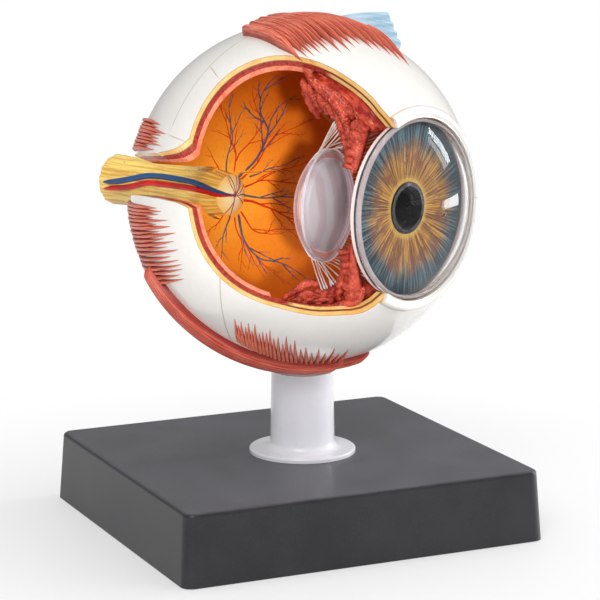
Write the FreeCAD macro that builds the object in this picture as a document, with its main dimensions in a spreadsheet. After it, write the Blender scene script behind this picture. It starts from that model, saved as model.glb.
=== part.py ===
"""Eye anatomy model: a cut-open eyeball, six times life size, on a flanged post and a base.

Frame: millimetres, +Z up, origin at the middle of the base's underside.  The base's long face
looks along -Y.  The eyeball's own frame has X along the optic axis, towards the cornea, and Z
up.  It sits on the post, turned to one side of the base.  The post stands a little off the
base's middle.
"""
import FreeCAD, Part
import math
import os

import Sketcher

from FreeCAD import Placement, Rotation, Vector

os.makedirs("parts", exist_ok=True)
doc = FreeCAD.newDocument("eye_anatomy_model")
sheet = doc.addObject("Spreadsheet::Sheet", "sizes")

SIZES = (
    # stand
    ("base_length", 169.6), ("base_width", 156.5), ("base_top", 31.1), ("base_draft", 3.6),
    ("base_corner", 5.0), ("base_edge", 1.8), ("base_wall", 3.0),
    ("foot_wall", 1.2), ("foot_radius", 7.0), ("foot_x", 68.0), ("foot_y", 61.0),
    ("cover_wall", 2.4), ("cover_gap", 0.3), ("cover_screw_x", 68.0), ("cover_screw_y", 40.0),
    ("boss_radius", 5.0), ("centre_boss_radius", 14.0), ("centre_boss_bottom", 9.0),
    ("pilot_radius", 1.45), ("cover_screw_radius", 1.4), ("cover_screw_head", 2.9),
    ("cover_screw_hole", 1.7), ("cover_screw_length", 12.0), ("cover_screw_head_wall", 1.4),
    ("post_flange_radius", 23.75), ("post_flange_wall", 1.9), ("post_fillet", 3.2),
    ("post_foot_radius", 14.4), ("post_neck_radius", 13.8), ("post_top", 68.0),
    ("post_bore_radius", 8.05), ("post_bore_depth", 22.0), ("post_bore_lead", 0.8),
    ("post_screw_radius", 2.5), ("post_screw_hole", 2.6), ("post_screw_length", 34.0),
    ("post_screw_head_radius", 4.6), ("post_screw_head_wall", 3.0),
    ("washer_radius", 9.0), ("washer_wall", 1.5), ("post_x", 3.6), ("post_y", -1.7),
    # turning joint
    ("pin_radius", 8.0), ("pin_length", 20.0), ("pin_collar_radius", 12.6),
    ("pin_float", 0.1), ("pin_collar_top", 73.6), ("pin_screw_radius", 2.0),
    ("pin_screw_hole", 2.1), ("pin_screw_head_radius", 3.8), ("pin_screw_head_wall", 2.0),
    ("pin_screw_length", 18.0), ("pin_head_level", 69.8), ("pin_head_room", 4.1),
    # eyeball
    ("eye_height", 146.9), ("eye_turn", -65.0), ("eye_radius", 75.0), ("sclera_wall", 2.9),
    ("choroid_wall", 2.5), ("retina_wall", 2.4), ("parting_gap", 0.1), ("retina_front", 26.3),
    ("front_opening", 38.8), ("front_opening_back", 40.0),
    ("lip_ring_radius", 41.2), ("lip_ring_place", 62.0), ("lip_ring_wall", 2.4),
    ("peg_radius", 0.8), ("peg_hole", 0.95), ("peg_length", 8.0), ("peg_ring", 73.5),
    # where the window's long edges end, as a polar angle from the optic axis
    ("window_front_polar", 20.0),
    # lip between the parting plane and the nerve slot
    ("lip_front", 14.0), ("lip_side", 20.0), ("lip_top", 5.5),
    # optic nerve
    ("nerve_radius", 11.6), ("nerve_hole", 11.9), ("nerve_side", 17.0), ("nerve_drop", 8.4),
    ("nerve_back", 130.0), ("nerve_shoulder", 65.0), ("nerve_head", 58.0),
    ("nerve_head_radius", 9.2), ("nerve_end_edge", 1.2), ("disc_crown", 2.6),
    ("disc_wall", 1.0), ("vessel_radius", 1.25), ("vessel_gap", 1.9), ("vessel_end", 6.0),
    ("vessel_head", 2.2),
    # lens
    ("lens_forward", 16.0), ("lens_side", -3.0), ("lens_drop", -3.0), ("lens_turn", 14.0),
    ("lens_radius", 24.6), ("lens_front", 9.5), ("lens_back", 12.0), ("lens_edge", 1.4),
    ("lens_wall", 2.2), ("lens_core_gap", 0.1),
    ("fibre_radius", 0.4), ("fibre_gap", 0.15), ("fibre_reach", 37.2), ("fibre_forward", 12.0),
    # front pieces
    ("iris_radius", 38.1), ("iris_front", 59.4), ("iris_edge_wall", 1.6), ("iris_dish", 1.8),
    ("pupil_radius", 11.1), ("pupil_tube_radius", 11.0), ("pupil_tube_bore", 9.2),
    ("pupil_step_bore", 7.6), ("pupil_tube_back", 42.0), ("pupil_tube_front", 58.4),
    ("pupil_step_front", 53.5), ("pupil_floor", 44.0),
    ("cornea_seat", 59.7), ("cornea_shoulder", 63.6), ("cornea_radius", 38.4),
    ("cornea_rim_wall", 2.4), ("cornea_apex", 77.6), ("cornea_wall", 1.8),
    # ciliary body
    ("ciliary_outer", 69.4), ("ciliary_front", 57.5), ("ciliary_tip", 32.0),
    ("ciliary_tip_back", 45.5), ("ciliary_heel", 38.0), ("ciliary_heel_back", 30.0),
    ("ciliary_fold", 44.0), ("ciliary_fold_back", 23.5),
    ("ciliary_ora", 26.5), ("ciliary_ora_radius", 59.0),
    ("horn_near", 56.4), ("horn_far", 41.0), ("horn_near_side", 35.5), ("horn_far_side", 16.0),
    # muscles
    ("rectus_wall", 4.6), ("side_rectus_wall", 2.4), ("under_rectus_wall", 2.0),
    ("oblique_wall", 5.4), ("post_clearance", 15.6),
    ("tendon_radius", 2.7), ("tendon_root_radius", 2.0), ("tendon_length", 33.0),
    ("tendon_pitch", 3.7), ("tendon_rise", 2.6), ("tendon_spread", 1.4),
)

# edges that run free over the ball, as rows of angles in degrees
EDGES = (
    # the window from its low front corner round the back to its high one: clock and polar angle
    ("window", ("clock", "polar"), (
        (-58.2, 33.5), (-57.8, 38.0), (-55.5, 42.0), (-50.0, 46.4), (-44.9, 51.8), (-40.0, 57.0),
        (-35.3, 62.1), (-31.2, 67.7), (-26.9, 73.2), (-21.3, 78.8), (-15.0, 83.2), (-8.0, 86.5),
        (0.0, 88.6), (12.0, 91.8), (25.0, 93.3), (36.0, 93.0), (44.0, 91.4), (50.5, 88.7),
        (55.3, 85.2), (59.3, 80.9), (62.5, 75.6), (64.6, 70.2), (66.2, 64.5), (67.2, 58.5),
        (68.0, 51.0), (68.4, 45.0), (67.6, 39.5))),
    # the nerve slot's upper edge: turn round the vertical axis, height at the inner and outer wall
    ("slot_top", ("turn", "inner", "outer"), (
        (-82.0, 24.5, 27.5), (-88.0, 23.6, 26.6), (-91.0, 21.6, 25.2), (-93.5, 18.9, 22.9),
        (-96.0, 17.2, 20.9), (-99.0, 16.5, 19.5), (-103.0, 16.1, 18.5), (-110.0, 15.6, 17.3), (-120.0, 14.6, 16.0), (-130.0, 13.2, 14.5),
        (-145.0, 10.6, 11.6), (-160.0, 8.0, 8.8), (-177.0, 5.2, 5.8), (-193.0, 3.2, 3.6))),
    # its lower edge: turn and height
    ("slot_foot", ("turn", "height"), (
        (-82.0, 1.2), (-89.0, 2.2), (-91.0, 3.0), (-95.0, 3.7), (-103.0, 3.8), (-115.0, 3.1),
        (-124.0, 2.0), (-137.0, -0.4), (-155.0, -4.2), (-177.0, -8.7), (-193.0, -12.2))),
)
for edge, heads, rows in EDGES:
    for number, row in enumerate(rows):
        SIZES += tuple(("%s_%s_%d" % (edge, head, number), angle) for head, angle in zip(heads, row))
for line, (alias, number) in enumerate(SIZES, start=1):
    sheet.set("A%d" % line, alias.replace("_", " "))
    sheet.set("B%d" % line, str(number))
    sheet.setAlias("B%d" % line, alias)
doc.recompute()


# --- sizes in words: "base_top - base_wall" is read as a sum of the sheet's cells ---

def value(text):
    """The number that a sum of cell names comes to."""
    total = 0.0
    sign = 1.0
    for word in text.split():
        if word in ("+", "-"):
            sign = 1.0 if word == "+" else -1.0
        else:
            total += sign * float(sheet.get(word))
    return total


def formula(text):
    """The same sum as an expression bound to the sheet."""
    return " ".join(word if word in ("+", "-") else "sizes." + word for word in text.split())


# --- PartDesign pieces ---

def new_body(label, place=None):
    body = doc.addObject("PartDesign::Body", label)
    body.Label = label
    if place:
        body.Placement = place
    return body


def new_sketch(body, name, role):
    """An empty sketch on one of the body's own origin planes."""
    sketch = body.newObject("Sketcher::SketchObject", name)
    plane = next(item for item in body.Origin.OriginFeatures if item.Role == role)
    sketch.AttachmentSupport = [(plane, "")]
    sketch.MapMode = "FlatFace"
    return sketch


def bind(sketch, kind, geometry, point, text):
    """Hold a point at the distance that the text gives from the sketch's origin."""
    number = value(text)
    index = sketch.addConstraint(Sketcher.Constraint(kind, -1, 1, geometry, point, number))
    sketch.setExpression("Constraints[%d]" % index, formula(text))


def profile(body, name, role, corners, arcs=()):
    """A closed outline of corner points, each an (across, up) pair of sums or None for zero.

    arcs lists the sides, by the number of their first corner, that are round about a point
    on the sketch's horizontal axis.
    """
    sketch = new_sketch(body, name, role)
    places = [Vector(value(a) if a else 0.0, value(b) if b else 0.0, 0) for a, b in corners]
    count = len(corners)
    flips = {}
    for number in range(count):
        start, end = places[number], places[(number + 1) % count]
        if number in arcs:
            centre_x = (end.dot(end) - start.dot(start)) / (2.0 * (end.x - start.x))
            centre = Vector(centre_x, 0, 0)
            angle_a = math.atan2(start.y, start.x - centre_x)
            angle_b = math.atan2(end.y, end.x - centre_x)
            flips[number] = angle_a > angle_b
            circle = Part.Circle(centre, Vector(0, 0, 1), start.distanceToPoint(centre))
            sketch.addGeometry(Part.ArcOfCircle(circle, min(angle_a, angle_b), max(angle_a, angle_b)))
        else:
            flips[number] = False
            sketch.addGeometry(Part.LineSegment(start, end))
    for number in range(count):
        following = (number + 1) % count
        last = 1 if flips[number] else 2
        first = 2 if flips[following] else 1
        sketch.addConstraint(Sketcher.Constraint("Coincident", number, last, following, first))
    for number, (across, up) in enumerate(corners):
        first = 2 if flips[number] else 1
        if across:
            bind(sketch, "DistanceX", number, first, across)
        else:
            sketch.addConstraint(Sketcher.Constraint("PointOnObject", number, first, -2))
        if up:
            bind(sketch, "DistanceY", number, first, up)
        else:
            sketch.addConstraint(Sketcher.Constraint("PointOnObject", number, first, -1))
    for number in arcs:
        sketch.addConstraint(Sketcher.Constraint("PointOnObject", number, 3, -1))
    return sketch


def turned(label, corners, arcs=(), place=None, upright=False):
    """A body turned about its X axis, or about its Z axis where it is upright.

    Corners are (along the axis, out from it) pairs, or (out, up) pairs for an upright one.
    """
    body = new_body(label, place)
    role = "XZ_Plane" if upright else "XY_Plane"
    sketch = profile(body, label + "_outline", role, corners, arcs)
    turn = body.newObject("PartDesign::Revolution", label + "_turn")
    turn.Profile = sketch
    turn.ReferenceAxis = (sketch, ["V_Axis" if upright else "H_Axis"])
    turn.Angle = 360.0
    doc.recompute()
    return body


def on_post(level):
    """A placement on the post's axis."""
    return Placement(Vector(value("post_x"), value("post_y"), level), Rotation())


def circles(body, name, centres, radius_text, lift_text=None):
    """Equal circles on the body's XY plane, their centres (across, up) pairs of sums."""
    sketch = new_sketch(body, name, "XY_Plane")
    if lift_text:
        sketch.AttachmentOffset = Placement(Vector(0, 0, value(lift_text)), Rotation())
        sketch.setExpression("AttachmentOffset.Base.z", formula(lift_text))
    for number, (x, y) in enumerate(centres):
        centre = Vector(x, y, 0)
        sketch.addGeometry(Part.Circle(centre, Vector(0, 0, 1), value(radius_text)))
        index = sketch.addConstraint(Sketcher.Constraint("Radius", number, value(radius_text)))
        sketch.setExpression("Constraints[%d]" % index, formula(radius_text))
    return sketch


def grow(body, name, sketch, length_text, taper=None):
    pad = body.newObject("PartDesign::Pad", name)
    pad.Profile = sketch
    pad.Length = value(length_text)
    pad.setExpression("Length", formula(length_text))
    if taper:
        pad.TaperAngle = -value(taper)
        pad.setExpression("TaperAngle", "-1 * " + formula(taper))
    doc.recompute()
    return pad


def sink(body, name, sketch, length_text, taper=None):
    """A pocket upwards from the sketch; it has to take something away."""
    before = body.Shape.Volume
    pocket = body.newObject("PartDesign::Pocket", name)
    pocket.Profile = sketch
    pocket.Length = value(length_text)
    pocket.setExpression("Length", formula(length_text))
    pocket.Reversed = True
    if taper:
        pocket.TaperAngle = -value(taper)
        pocket.setExpression("TaperAngle", "-1 * " + formula(taper))
    doc.recompute()
    if body.Shape.Volume > before - 1.0:
        raise ValueError(name + " cuts nothing")
    return pocket


def rectangle(body, name, length_text, width_text, inset_text=None):
    """A rectangle about the origin of the body's XY plane, inset on all sides."""
    sketch = new_sketch(body, name, "XY_Plane")
    inset = value(inset_text) if inset_text else 0.0
    x = value(length_text) / 2.0 - inset
    y = value(width_text) / 2.0 - inset
    ring = [Vector(-x, -y, 0), Vector(x, -y, 0), Vector(x, y, 0), Vector(-x, y, 0)]
    for number in range(4):
        sketch.addGeometry(Part.LineSegment(ring[number], ring[(number + 1) % 4]))
    for number in range(4):
        sketch.addConstraint(Sketcher.Constraint("Coincident", number, 2, (number + 1) % 4, 1))
    for number, kind in enumerate(("Horizontal", "Vertical", "Horizontal", "Vertical")):
        sketch.addConstraint(Sketcher.Constraint(kind, number))
    sketch.addConstraint(Sketcher.Constraint("Symmetric", 0, 1, 1, 2, -1, 1))
    less = " - 2 * (%s)" % formula(inset_text) if inset_text else ""
    for number, text, full in ((0, length_text, 2 * x), (1, width_text, 2 * y)):
        kind = "DistanceX" if number == 0 else "DistanceY"
        index = sketch.addConstraint(Sketcher.Constraint(kind, number, 1, number, 2, full))
        sketch.setExpression("Constraints[%d]" % index, formula(text) + less)
    return sketch


def round_edges(body, name, radius_text, wanted):
    """A fillet on the edges for which wanted(edge) is true."""
    picked = ["Edge%d" % (n + 1) for n, edge in enumerate(body.Shape.Edges) if wanted(edge)]
    base = body.Tip
    fillet = body.newObject("PartDesign::Fillet", name)
    fillet.Base = (base, picked)
    fillet.Radius = value(radius_text)
    fillet.setExpression("Radius", formula(radius_text))
    doc.recompute()


def each_corner(x, y):
    return [(side * x, end * y) for side in (-1, 1) for end in (-1, 1)]


# --- stand ---

def make_base_shell():
    body = new_body("base_shell")
    outline = rectangle(body, "base_outline", "base_length", "base_width")
    grow(body, "base_block", outline, "base_top", taper="base_draft")
    tall = value("base_top")
    round_edges(body, "base_corners", "base_corner",
                lambda edge: abs(edge.Vertexes[0].Z - edge.Vertexes[1].Z) > 0.5 * tall)
    top = value("base_top")
    round_edges(body, "base_top_edge", "base_edge",
                lambda edge: all(corner.Z > top - 0.01 for corner in edge.Vertexes))
    hollow = rectangle(body, "base_hollow_outline", "base_length", "base_width", "base_wall")
    sink(body, "base_hollow", hollow, "base_top - base_wall", taper="base_draft")
    corners = each_corner(value("cover_screw_x"), value("cover_screw_y"))
    bosses = circles(body, "boss_outline", corners, "boss_radius", "cover_wall")
    grow(body, "bosses", bosses, "base_top - base_wall - cover_wall")
    middle = [(value("post_x"), value("post_y"))]
    centre = circles(body, "centre_boss_outline", middle, "centre_boss_radius",
                     "centre_boss_bottom")
    grow(body, "centre_boss", centre, "base_top - base_wall - centre_boss_bottom")
    pilots = circles(body, "pilot_outline", corners, "pilot_radius")
    sink(body, "pilots", pilots, "cover_screw_length + cover_wall")
    through = circles(body, "post_screw_outline", middle, "post_screw_hole")
    sink(body, "post_screw_passage", through, "base_top")
    return body


def make_bottom_cover():
    body = new_body("base_bottom_cover")
    plate = rectangle(body, "cover_outline", "base_length", "base_width", "base_wall + cover_gap")
    grow(body, "cover_plate", plate, "cover_wall")
    tall = value("cover_wall")
    round_edges(body, "cover_corners", "boss_radius",
                lambda edge: abs(edge.Vertexes[0].Z - edge.Vertexes[1].Z) > 0.5 * tall)
    corners = each_corner(value("cover_screw_x"), value("cover_screw_y"))
    holes = circles(body, "cover_holes_outline", corners, "cover_screw_hole")
    sink(body, "cover_holes", holes, "cover_wall")
    recess = circles(body, "cover_recess_outline", corners, "cover_screw_head + cover_gap")
    sink(body, "cover_recesses", recess, "cover_screw_head_wall")
    feet = each_corner(value("foot_x"), value("foot_y"))
    seats = circles(body, "foot_seat_outline", feet, "foot_radius + cover_gap")
    sink(body, "foot_seats", seats, "foot_wall")
    return body


def repeat_at(label, body, places):
    """One node of equal separate solids: the body's shape at each place."""
    doc.recompute()
    group = doc.addObject("Part::Feature", label)
    group.Shape = Part.makeCompound([body.Shape.translated(Vector(*place)) for place in places])
    group.Label = label
    return group


def make_small_stand_pieces():
    foot = turned("foot", [(None, None), ("foot_radius", None),
                           ("foot_radius", "foot_wall"), (None, "foot_wall")], upright=True)
    feet = [(x, y, 0.0) for x, y in each_corner(value("foot_x"), value("foot_y"))]
    rubber_feet = repeat_at("rubber_feet", foot, feet)
    screw = turned("cover_screw", [
        (None, None), ("cover_screw_head", None), ("cover_screw_head", "cover_screw_head_wall"),
        ("cover_screw_radius", "cover_screw_head_wall"),
        ("cover_screw_radius", "cover_screw_length"), (None, "cover_screw_length")], upright=True)
    screw_places = each_corner(value("cover_screw_x"), value("cover_screw_y"))
    screws = repeat_at("cover_screws", screw, [(x, y, 0.0) for x, y in screw_places])
    return rubber_feet, screws


def make_post():
    place = on_post(value("base_top"))
    height = "post_top - base_top"
    post = turned("stand_post", [
        ("post_screw_radius", None), ("post_flange_radius", None),
        ("post_flange_radius", "post_flange_wall"), ("post_foot_radius", "post_flange_wall"),
        ("post_neck_radius", height), ("post_bore_radius", height),
        ("post_bore_radius", height + " - post_bore_depth"),
        ("post_screw_radius", height + " - post_bore_depth")], place=place, upright=True)
    flange = value("post_flange_wall")
    foot = value("post_foot_radius")
    round_edges(post, "post_foot_fillet", "post_fillet",
                lambda edge: abs(edge.BoundBox.ZMin - flange - value("base_top")) < 0.01
                and abs(edge.BoundBox.XLength - 2 * foot) < 0.1)
    round_edges(post, "post_flange_edge", "post_bore_lead",
                lambda edge: abs(edge.BoundBox.ZMin - flange - value("base_top")) < 0.01
                and abs(edge.BoundBox.XLength - 2 * value("post_flange_radius")) < 0.1)
    place = on_post(value("centre_boss_bottom - washer_wall"))
    turned("post_washer", [("post_screw_hole", None), ("washer_radius", None),
                           ("washer_radius", "washer_wall"), ("post_screw_hole", "washer_wall")],
           place=place, upright=True)
    head = "post_screw_head_wall"
    place = on_post(value("centre_boss_bottom - washer_wall - " + head))
    turned("post_screw", [
        (None, None), ("post_screw_head_radius", None), ("post_screw_head_radius", head),
        ("post_screw_radius", head), ("post_screw_radius", "post_screw_length"),
        (None, "post_screw_length")], place=place, upright=True)


def make_swivel():
    """The pin that turns in the post, and the screw that holds it to the eyeball."""
    collar = "pin_length + pin_float"
    top = "pin_collar_top - post_top + pin_length"
    place = on_post(value("post_top - pin_length"))
    hole = "pin_screw_radius"
    turned("swivel_pin", [
        (hole, None), ("pin_radius", None), ("pin_radius", collar),
        ("pin_collar_radius", collar), ("pin_collar_radius", top), (hole, top)],
        place=place, upright=True)
    head_top = value("eye_height - pin_head_level + pin_screw_head_wall")
    place = on_post(head_top - value("pin_screw_length"))
    turned("pin_screw", [
        (None, None), (hole, None), (hole, "pin_screw_length - pin_screw_head_wall"),
        ("pin_screw_head_radius", "pin_screw_length - pin_screw_head_wall"),
        ("pin_screw_head_radius", "pin_screw_length"), (None, "pin_screw_length")],
        place=place, upright=True)


# --- eyeball: directions, cutters and coats, all in the eyeball's own frame ---

EYE = on_post(value("eye_height")).multiply(
    Placement(Vector(), Rotation(Vector(0, 0, 1), value("eye_turn"))))


def by_clock(polar, clock):
    """Direction at a polar angle from the optic axis; clock 0 is the temporal side, 90 up."""
    p, c = math.radians(polar), math.radians(clock)
    return Vector(math.cos(p), -math.sin(p) * math.cos(c), math.sin(p) * math.sin(c))


def by_height(turn, height):
    """Direction at an angle round the vertical axis and a height above the equator."""
    a, e = math.radians(turn), math.radians(height)
    return Vector(math.cos(e) * math.cos(a), math.cos(e) * math.sin(a), math.sin(e))


def radial_solid(name, ring, caps, tip=None, inner=25.0, outer=110.0, peak=1.3, near_ring=None):
    """A solid whose sides all point at the eyeball's centre, unless near_ring slants them.

    ring is a closed loop of directions.  caps lists triangles of ring numbers, where the
    number len(ring) is the direction tip.
    """
    near = [direction * inner for direction in near_ring or ring]
    far = [direction * outer for direction in ring]
    if tip:
        near.append(tip * inner)
        far.append(tip * outer * peak)
    faces = []
    for number in range(len(ring)):
        following = (number + 1) % len(ring)
        corners = [near[number], near[following], far[following], far[number]]
        for triangle in (corners[:3], corners[2:] + corners[:1]) if near_ring else (corners,):
            faces.append(Part.Face(Part.makePolygon(triangle + triangle[:1])))
    for triangle in caps:
        for side in (near, far):
            loop = [side[corner] for corner in triangle]
            faces.append(Part.Face(Part.makePolygon(loop + loop[:1])))
    shell = Part.makeShell(faces)
    shell.sewShape()
    solid = Part.makeSolid(shell)
    if solid.Volume < 0:
        solid.reverse()
    holder = doc.addObject("Part::Feature", name)
    holder.Shape = solid
    return holder


def fan(count):
    return [(count, number, (number + 1) % count) for number in range(count)]


def edge_rows(edge):
    """One edge's rows of angles, read back from the sheet."""
    heads, rows = next((heads, rows) for name, heads, rows in EDGES if name == edge)
    return [[value("%s_%s_%d" % (edge, head, number)) for head in heads]
            for number in range(len(rows))]


def make_window(steps=48, side_steps=3):
    curve = Part.BSplineCurve()
    curve.interpolate([Vector(clock, polar, 0) for clock, polar in edge_rows("window")])
    edge = curve.discretize(Number=steps)
    front = value("window_front_polar")
    ring = [by_clock(point.y, point.x) for point in edge]
    for corner, shares in ((edge[-1], range(1, side_steps + 1)),
                           (edge[0], range(side_steps, 0, -1))):
        for step in shares:
            share = step / side_steps
            ring.append(by_clock(corner.y + (front - corner.y) * share, corner.x))
    rearmost = max(point.y for point in edge)
    tip = by_clock(0.5 * (rearmost + front), 0.5 * (edge[0].x + edge[-1].x))
    return radial_solid("window_cutter", ring, fan(len(ring)), tip)


def between(rows, turn, column):
    """A column's value at a turn, on the straight line between two rows."""
    for row, following in zip(rows, rows[1:]):
        if following[0] <= turn:
            share = (turn - row[0]) / (following[0] - row[0])
            return row[column] + (following[column] - row[column]) * share
    return rows[-1][column]


def make_slot(corner_steps=22, corner_share=0.22, steps=22, near=60.0, far=90.0):
    """The window's narrow end: it follows the optic nerve round to the back of the ball.

    The first share of its length, where it rounds the window's corner, has steps of its own.
    """
    tops, feet = edge_rows("slot_top"), edge_rows("slot_foot")
    shares = [corner_share * step / corner_steps for step in range(corner_steps)]
    shares += [corner_share + (1 - corner_share) * step / steps for step in range(steps + 1)]
    inner, outer = value("eye_radius - sclera_wall - choroid_wall - retina_wall"), value("eye_radius")
    rims = {near: ([], []), far: ([], [])}
    for share in shares:
        turn = tops[0][0] + (tops[-1][0] - tops[0][0]) * share
        low, high = between(tops, turn, 1), between(tops, turn, 2)
        for radius, (top_rim, foot_rim) in rims.items():
            height = low + (high - low) * (radius - inner) / (outer - inner)
            top_rim.append(by_height(turn, height))
            foot_rim.append(by_height(turn, between(feet, turn, 1)))
    count = len(shares)
    caps = []
    for step in range(count - 1):
        low, low_next = 2 * count - 1 - step, 2 * count - 2 - step
        caps.append((step, step + 1, low_next))
        caps.append((step, low_next, low))
    near_rim, far_rim = (rims[radius][0] + rims[radius][1][::-1] for radius in (near, far))
    return radial_solid("slot_cutter", far_rim, caps, inner=near, outer=far, near_ring=near_rim)


def part(kind, name, **terms):
    """A Part primitive whose properties are sums of cells."""
    item = doc.addObject("Part::" + kind, name)
    for key, text in terms.items():
        setattr(item, key, value(text))
        item.setExpression(key, formula(text))
    return item


def cylinder(name, radius, length, start, direction):
    """A cylinder of bound radius and length from a start point along a direction."""
    item = part("Cylinder", name, Radius=radius, Height=length)
    item.Placement = Placement(start, Rotation(Vector(0, 0, 1), direction))
    return item


def join(kind, name, base, tool, place=None):
    item = doc.addObject("Part::" + kind, name)
    item.Base = base
    item.Tool = tool
    item.Label = name
    if place:
        item.Placement = place
    return item


def merge(name, items):
    item = doc.addObject("Part::MultiFuse", name)
    item.Shapes = items
    return item


def half_space(name, upper):
    """A block that holds everything above the parting plane, or below it."""
    side = 2.0 * value("eye_radius") + 40.0
    block = doc.addObject("Part::Box", name)
    block.Length = block.Width = block.Height = side
    low = value("parting_gap") if upper else -value("parting_gap") - side
    block.Placement = Placement(Vector(-side / 2, -side / 2, low), Rotation())
    return block


def split(name, whole, place):
    """The upper and the lower half of a piece that the parting plane divides.

    On the open side the slot parts them, and its low lip stays with the lower half.
    """
    upper = join("Common", name + "_upper", whole, UPPER, place)
    lower = join("Common", name + "_lower", whole, LOWER, place)
    return upper, lower


def lip_block():
    """The space of the slot's low lip, between the parting plane and the open slot."""
    block = doc.addObject("Part::Box", "low_lip")
    reach = value("eye_radius") + 10.0
    block.Length = reach + value("lip_front")
    block.Width = reach - value("lip_side")
    block.Height = value("lip_top") + value("parting_gap") + 1.0
    block.Placement = Placement(Vector(-reach, -reach, -value("parting_gap") - 1.0), Rotation())
    return block


X_AXIS = Vector(1, 0, 0)
UP = Vector(0, 0, 1)
LIP = lip_block()
UPPER = join("Cut", "upper_space", half_space("above_parting", True), LIP)
LOWER = join("Fuse", "lower_space", half_space("below_parting", False), LIP)
WINDOW = make_window()
SLOT = make_slot()
NERVE_AXIS = Vector(0, value("nerve_side"), -value("nerve_drop"))


def make_openings():
    """What is open in every coat: window, slot, front opening, nerve hole and pin screw."""
    front = cylinder("front_opening_cutter", "front_opening", "eye_radius",
                     X_AXIS * value("front_opening_back"), X_AXIS)
    hole = cylinder("nerve_hole_cutter", "nerve_hole", "eye_radius", NERVE_AXIS, -X_AXIS)
    screw = cylinder("pin_screw_cutter", "pin_screw_hole", "eye_radius", Vector(), -UP)
    return merge("openings", [WINDOW, SLOT, front, hole, screw])


def make_coats():
    openings = make_openings()
    outer = "eye_radius"
    seat_level = value("pin_collar_top - eye_height")
    for name, wall in (("sclera", "sclera_wall"), ("choroid", "choroid_wall"),
                       ("retina", "retina_wall")):
        inner = outer + " - " + wall
        ball = part("Sphere", name + "_ball", Radius=outer)
        core = part("Sphere", name + "_core", Radius=inner)
        if name == "sclera":
            lip = part("Torus", "sclera_lip", Radius1="lip_ring_radius", Radius2="lip_ring_wall")
            lip.Placement = Placement(X_AXIS * value("lip_ring_place"),
                                      Rotation(UP, X_AXIS))
            ball = merge("sclera_ball_and_lip", [ball, lip])
        hollow = join("Cut", name + "_hollow", ball, core)
        whole = join("Cut", name + "_open", hollow, openings)
        if name == "sclera":
            seat = part("Cylinder", "pin_seat_cutter", Radius="pin_collar_radius",
                        Height="eye_radius")
            seat.Placement = Placement(UP * (seat_level - value("eye_radius")), Rotation())
            pegs = merge("peg_hole_cutters", peg_cylinders("peg_hole", "peg_hole_cutter"))
            whole = join("Cut", "sclera_seated", join("Cut", "sclera_bottomed", whole, seat), pegs)
        if name == "retina":
            front = doc.addObject("Part::Box", "retina_front_cutter")
            reach = value("eye_radius")
            front.Length = reach
            front.Width = front.Height = 2 * reach
            front.Placement = Placement(Vector(value("retina_front"), -reach, -reach), Rotation())
            whole = join("Cut", "retina_trimmed", whole, front)
        if name != "sclera":
            head = cylinder(name + "_head_room", "pin_head_room", "pin_head_room",
                            UP * -value("pin_head_level"), UP)
            whole = join("Cut", name + "_bored", whole, head)
        split(name, whole, EYE)
        outer = inner


def peg_cylinders(radius, name):
    """Cylinders where the three locating pegs stand across the parting plane."""
    items = []
    for number, turn in enumerate((45.0, 95.0, 145.0)):
        start = by_height(turn, 0) * value("peg_ring") - UP * 0.5 * value("peg_length")
        items.append(cylinder("%s_%d" % (name, number), radius, "peg_length", start, UP))
    return items


def make_pegs():
    pegs = peg_cylinders("peg_radius", "peg")
    doc.recompute()
    group = doc.addObject("Part::Feature", "locating_pegs")
    group.Shape = Part.makeCompound([peg.Shape for peg in pegs])
    group.Placement = EYE


# --- ciliary body ---

def make_ciliary_body():
    """A folded ring behind the iris, cut away at the window but for two tapering horns."""
    ring = turned("ciliary_ring", [
        ("ciliary_ora", "ciliary_ora_radius"), ("ciliary_fold_back", "ciliary_fold"),
        ("ciliary_heel_back", "ciliary_heel"), ("ciliary_tip_back", "ciliary_tip"),
        ("ciliary_front", "ciliary_tip"), ("ciliary_front", "ciliary_outer"),
        ("ciliary_ora", "ciliary_outer")])
    ball = part("Sphere", "ciliary_ball", Radius="ciliary_outer")
    within = join("Common", "ciliary_within", ring, ball)
    slope_across = value("horn_near_side - horn_far_side")
    slope_along = value("horn_near - horn_far")
    turn = math.degrees(math.atan2(slope_along, slope_across))
    keep = doc.addObject("Part::Box", "horn_keeper")
    side = 2 * value("eye_radius")
    keep.Length = keep.Width = keep.Height = side
    corner = Vector(value("horn_near"), -value("horn_near_side"), 0)
    local = Placement(corner, Rotation(UP, turn))
    keep.Placement = local.multiply(Placement(Vector(0, -side / 2, -side / 2), Rotation()))
    cutter = join("Cut", "ciliary_cutter", WINDOW, keep)
    whole = join("Cut", "ciliary_cut", within, cutter)
    split("ciliary_body", whole, EYE)


# --- front pieces ---

def make_front_pieces():
    back = "iris_front - iris_edge_wall"
    turned("iris", [
        (back + " - iris_dish", "pupil_radius"), ("iris_front - iris_dish", "pupil_radius"),
        ("iris_front", "front_opening - pupil_radius"), ("iris_front", "iris_radius"),
        (back, "iris_radius"), (back, "front_opening - pupil_radius")], place=EYE)
    turned("pupil_tube", [
        ("pupil_tube_back", None), ("pupil_tube_back", "pupil_tube_radius"),
        ("pupil_tube_front", "pupil_tube_radius"), ("pupil_tube_front", "pupil_tube_bore"),
        ("pupil_step_front", "pupil_tube_bore"), ("pupil_step_front", "pupil_step_bore"),
        ("pupil_floor", "pupil_step_bore"), ("pupil_floor", None)], place=EYE)
    inner = "cornea_radius - cornea_rim_wall"
    turned("cornea", [
        ("cornea_seat", inner), ("cornea_seat", "cornea_radius"),
        ("cornea_shoulder", "cornea_radius"), ("cornea_apex", None),
        ("cornea_apex - cornea_wall", None), ("cornea_shoulder - cornea_wall", inner)],
        arcs=(2, 4), place=EYE)


# --- lens and the fibres that hang it ---

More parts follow.
